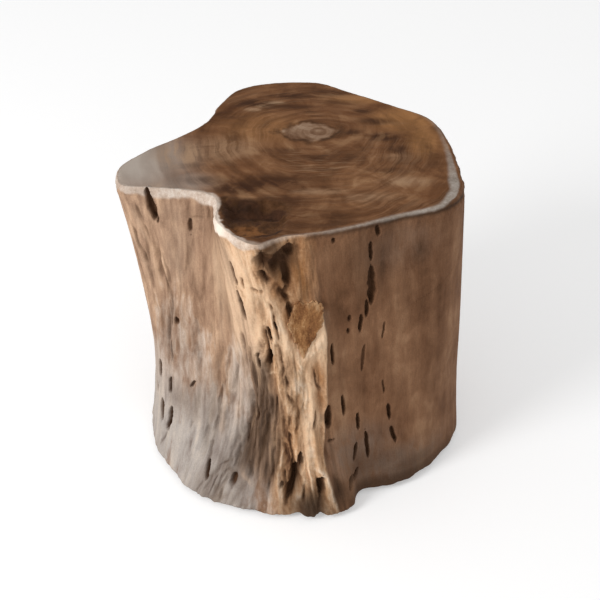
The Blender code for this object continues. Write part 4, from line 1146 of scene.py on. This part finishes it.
def seat_material():
    look = Look("sawn_seat", 0.08)
    mask, ramp, stops = look.mask, look.ramp, look.stops
    times, total, over = look.times, look.total, look.over
    place = look.place
    across, deep, _ = look.split(place)
    ring = mask("ring")

    def bands(count, breaks, detail=2.0):
        """Noise in rings round the pith, and how many times a metre they break up along their way."""
        vector = look.joined(times(ring, count), times(across, breaks), times(deep, breaks))
        return look.noise(vector, 1.0, detail, 0.6)

    wide, middling, fine = bands(7.0, 7.0), bands(26.0, 9.0), bands(75.0, 16.0, 1.0)
    blot = look.noise(place, 13.0)
    patch = ramp(look.noise(place, 20.0), 0.46, 0.62)
    cloud = look.noise(place, 24.0, 5.0, 0.60, 0.8)
    shade = total(wide, 0.40, middling, 0.12, cloud, 0.48)
    look.colour = stops(shade, 0.38, 0.62, "482b18 5f3e25 704b30 825b3d 997352")
    over(ramp(blot, 0.35, 0.68, 0.40, 0.0), "664026")
    over(times(ramp(middling, 0.38, 0.54, 0.48, 0.0), patch), "4c311e")
    over(times(ramp(fine, 0.48, 0.62, 0.0, 0.19), patch), "a37d5e")
    over(times(mask("orange"), ramp(shade, 0.40, 0.58, 0.5, 1.0)), "a9784a")
    over(times(mask("grey"), 0.95), look.mix(ramp(wide, 0.35, 0.62), "96877b", "b1a59a"))
    uneven = total(middling, 1.3, cloud, 1.5)
    over(times(mask("pale"), ramp(uneven, 1.25, 1.55, 0.25, 1.0)), "ab8b6d")
    over(times(mask("dark"), ramp(uneven, 1.30, 1.60, 1.0, 0.55)), "381f0f")

    # The pale heart and its outline
    lens = mask("lens")
    heart = stops(total(middling, 0.4, cloud, 0.6), 0.40, 0.60, "684a35 83654e 9e836c")
    over(times(ramp(lens, 1.10, 0.78), ramp(across, 0.060, 0.020, 0.35, 1.0)), heart)
    outline = times(ramp(lens, 0.80, 1.04), ramp(lens, 1.50, 1.10))
    over(times(outline, ramp(cloud, 0.42, 0.60, 0.80, 0.15)), "3c2717")

    # Saw marks
    saw = look.noise(look.stretched(place, 26.0, 330.0, 1.0), 1.0, 3.0, 0.6)
    over(times(ramp(saw, 0.57, 0.70, 0.0, 0.50), mask("saw")), "b08e6e")
    over(times(ramp(saw, 0.42, 0.32, 0.0, 0.80), mask("saw")), "46301f")

    # The hollow, with its rot and the painted shade on its far wall and inside its front rim, and the rim
    grit = look.noise(place, 75.0, 4.0)
    torn = look.maths("MULTIPLY_ADD", grit, 2.4, -1.2)
    floor = stops(grit, 0.32, 0.68, "3c2513 50341f 66472f")
    warm = stops(grit, 0.32, 0.68, "543519 6f4727 875c38")
    floor = look.mix(ramp(look.plus(mask("hollow_orange"), torn), 0.25, 0.65), floor, warm)
    # Near black: rot and painted shade
    gloom = look.mix(ramp(grit, 0.35, 0.65), "2b1a0f", "42291a")
    floor = look.mix(ramp(look.plus(mask("hollow_dark"), torn), 0.20, 0.60), floor, gloom)
    over(mask("hollow"), floor)
    # The rim's pale band on the seat: sapwood with a painted highlight
    over(times(mask("rim"), 0.9), rim_colour(look, place))
    look.grit(0.35)
    return look.finish(0.72, total(fine, 0.35, saw, 0.5), 0.5, 0.0006)


def foot_material():
    look = Look("sawn_foot")
    saw = look.noise(look.stretched(look.place, 12.0, 380.0, 1.0), 1.0)
    look.colour = look.mix(look.ramp(look.noise(look.place, 11.0), 0.3, 0.7), "6b4d35", "8f6e50")
    look.over(look.ramp(saw, 0.4, 0.6, 0.5, 0.0), GROOVE_BROWN)
    return look.finish(0.8, saw, 0.5, 0.0006)


def add(name, data):
    """A new object in the scene."""
    made = bpy.data.objects.new(name, data)
    bpy.context.scene.collection.objects.link(made)
    return made


def make_trunk():
    trunk = add("log", trunk_mesh())
    for made in (wall_material(), seat_material(), foot_material()):
        trunk.data.materials.append(made)
    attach(trunk, "root")
    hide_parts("trunk")


def bark_material():
    look = Look("inner_bark")
    place = look.place
    grain = look.noise(look.stretched(place, 1.0, 1.0, 0.35), 170.0, 4.0, 0.65)
    grit = look.noise(place, 520.0, 3.0, 0.6)
    blot = look.noise(place, 45.0)
    shade = look.total(grain, 0.55, grit, 0.30, blot, 0.35)
    look.colour = look.stops(shade, 0.42, 0.78, "623f26 815534 986a42 ac7d52 c1966a")
    fray = look.total(look.mask("edge"), 1.0, blot, 0.9, grain, 0.9)
    look.over(look.ramp(fray, 1.72, 1.95, 0.0, 0.9), "c39a72")
    return look.finish(0.88, look.total(grain, 0.8, grit, 0.5), 0.5, 0.0008)


def make_bark():
    """The flake of inner bark: ragged round its edge, granular on its face, and sunk into the wall behind."""
    outline = closed_points(BARK_OUTLINE_SHARES, BARK_COLUMNS) * BARK_SIZE
    flat = np.pad(outline, ((0, 0), (0, 1)))
    outline *= 1 + 0.10 * noise(flat / 0.009, 71)[:, None] + 0.09 * noise(flat / 0.0035, 72)[:, None]
    shares = np.concatenate((np.full(3, 1.0), np.linspace(0.985, 0.04, BARK_RINGS)))
    lifts = np.array((-BARK_SEAT, -0.001, 0.0008, *[BARK_PROUD] * BARK_RINGS))[:, None]
    spots = outline * shares[:, None, None]
    ribs = BARK_RIB + spots[..., 0] / rib_width(BARK_RIB, BARK_HEIGHT_SHARE, RIB_STEP)
    heights = BARK_HEIGHT_SHARE + spots[..., 1] / LOG_HEIGHT
    level = np.pad(spots, ((0, 0), (0, 0), (0, 1)))
    rough = 0.0009 * layered(level / 0.009, 73, 4) + 0.0004 * noise(level / 0.0025, 75) - 0.0006
    rough -= 0.0005 * (1 - smooth(1.0, 0.93, shares)[:, None])
    lift = lifts + rough * (shares < 1)[:, None]
    taken = relief(ribs, heights, RELIEF_SHARES) - np.minimum(lift, BARK_PROUD + 0.001)
    points = plain_wall(ribs, heights) - outward(ribs, heights) * taken[..., None]
    faces = band_faces(len(shares), BARK_COLUMNS)
    back = len(shares) * BARK_COLUMNS
    faces.append(tuple(range(back - BARK_COLUMNS, back)))
    faces += [(step, back, (step + 1) % BARK_COLUMNS) for step in range(BARK_COLUMNS)]
    mesh = bpy.data.meshes.new("bark_flake")
    mesh.from_pydata([*points.reshape(-1, 3).tolist(), points[0].mean(axis=0).tolist()], [], faces)
    set_floats(mesh, "edge", [*np.repeat(shares, BARK_COLUMNS), 1.0])
    mesh.materials.append(bark_material())
    mesh.shade_smooth()
    bark = add("bark_flake", mesh)
    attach(bark, "root")
    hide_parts("bark_remnant")


def nylon_material():
    """Moulded dark brown nylon, slightly uneven, with scuffs."""
    look = Look("moulded_nylon", 0.5)
    scuff = look.noise(look.stretched(look.place, 1.0, 1.0, 6.0), 700.0, 4.0, 0.7)
    look.colour = look.stops(look.noise(look.place, 180.0), 0.35, 0.65, "3a2d24 443529 4d3d30")
    look.over(look.ramp(scuff, 0.58, 0.72, 0.0, 0.5), "6b5949")
    return look.finish(look.ramp(scuff, 0.3, 0.7, 0.38, 0.62), scuff, 0.3, 0.0002)


def steel_material():
    """Drawn steel wire, with fine lines along it and a little tarnish."""
    look = Look("drawn_steel")
    lines = look.noise(look.stretched(look.place, 1.0, 1.0, 0.05), 4000.0, 2.0)
    tarnish = look.noise(look.place, 400.0, 4.0, 0.6)
    look.colour = look.mix(look.ramp(tarnish, 0.45, 0.70), "b9bab8", "8b857c")
    look.set("Metallic", 1.0)
    return look.finish(look.ramp(lines, 0.3, 0.7, 0.28, 0.50), lines, 0.2, 0.0001)


def felt_material():
    """Pressed wool felt: matted fibres, flecked lighter and darker."""
    look = Look("pressed_felt")
    mat = look.noise(look.place, 900.0, 5.0, 0.7, 1.2)
    fleck = look.noise(look.place, 2600.0, 2.0, 0.6, 0.8)
    shade = look.total(mat, 0.5, fleck, 0.3, look.noise(look.place, 120.0), 0.2)
    look.colour = look.stops(shade, 0.38, 0.62, "45362a 5a4738 705b49 8d7864")
    look.set("Sheen Weight", 0.25)
    return look.finish(0.95, look.total(mat, 0.6, fleck, 0.4), 0.7, 0.0005)


def finish_glides():
    """The glides keep their CAD shapes and get their materials here."""
    for kind, made in (("cup", nylon_material()), ("nail", steel_material()), ("felt", felt_material())):
        for corner in ("front_left", "front_right", "rear_right", "rear_left"):
            bpy.data.objects[f"glide_{kind}_{corner}"].material_slots[0].material = made


def seen_share(nodes):
    """1 for what the camera sees, straight on or in metal or glass, and 0 for what lights the object."""
    path = nodes.node("LightPath")
    kinds = ("Camera", "Glossy", "Transmission")
    camera, glossy, through = (path.outputs[f"Is {kind} Ray"] for kind in kinds)
    return nodes.maths("MAXIMUM", nodes.maths("MAXIMUM", camera, glossy), through)


def make_stage():
    shape = bmesh.new()
    bmesh.ops.create_grid(shape, x_segments=2, y_segments=2, size=FLOOR_SIZE / 2)
    mesh = bpy.data.meshes.new("floor")
    shape.to_mesh(mesh)
    shape.free()
    floor = add("floor", mesh)
    look = Look("pale_floor")
    look.set("Base Color", (FLOOR_GREY, FLOOR_GREY, FLOOR_GREY, 1))
    look.set("Roughness", 0.9)
    look.set("Emission Color", (1, 1, 1, 1))
    look.set("Emission Strength", look.times(seen_share(look), FLOOR_GLOW))
    mesh.materials.append(look.material)
    world = bpy.data.worlds.new("room")
    world.use_nodes = True
    room = Nodes(world.node_tree)
    back = room.tree.nodes["Background"]
    room.plug(back.inputs["Color"], (1, 1, 1, 1))
    room.plug(back.inputs["Strength"], room.ramp(seen_share(room), 0.0, 1.0, ROOM_LIGHT, 1.0))
    bpy.context.scene.world = world
    bpy.context.scene.view_settings.view_transform = "Standard"


def make_lamp():
    lamp = bpy.data.lights.new("key", "AREA")
    lamp.shape = "DISK"
    lamp.size = KEY_SIZE
    lamp.energy = KEY_POWER
    key = add("key", lamp)
    key.location = KEY_PLACE
    key.rotation_euler = (CAMERA_TARGET - KEY_PLACE).to_track_quat("-Z", "Y").to_euler()


def make_camera():
    data = bpy.data.cameras.new("camera")
    data.lens = CAMERA_LENS
    data.sensor_width = SENSOR_WIDTH
    camera = add("camera", data)
    back = Vector((0, -math.cos(CAMERA_ELEVATION), math.sin(CAMERA_ELEVATION)))
    camera.location = CAMERA_TARGET + CAMERA_DISTANCE * back
    camera.rotation_euler = (-back).to_track_quat("-Z", "Y").to_euler()
    bpy.context.scene.camera = camera


make_camera()
make_stage()
make_lamp()
make_trunk()
make_bark()
finish_glides()
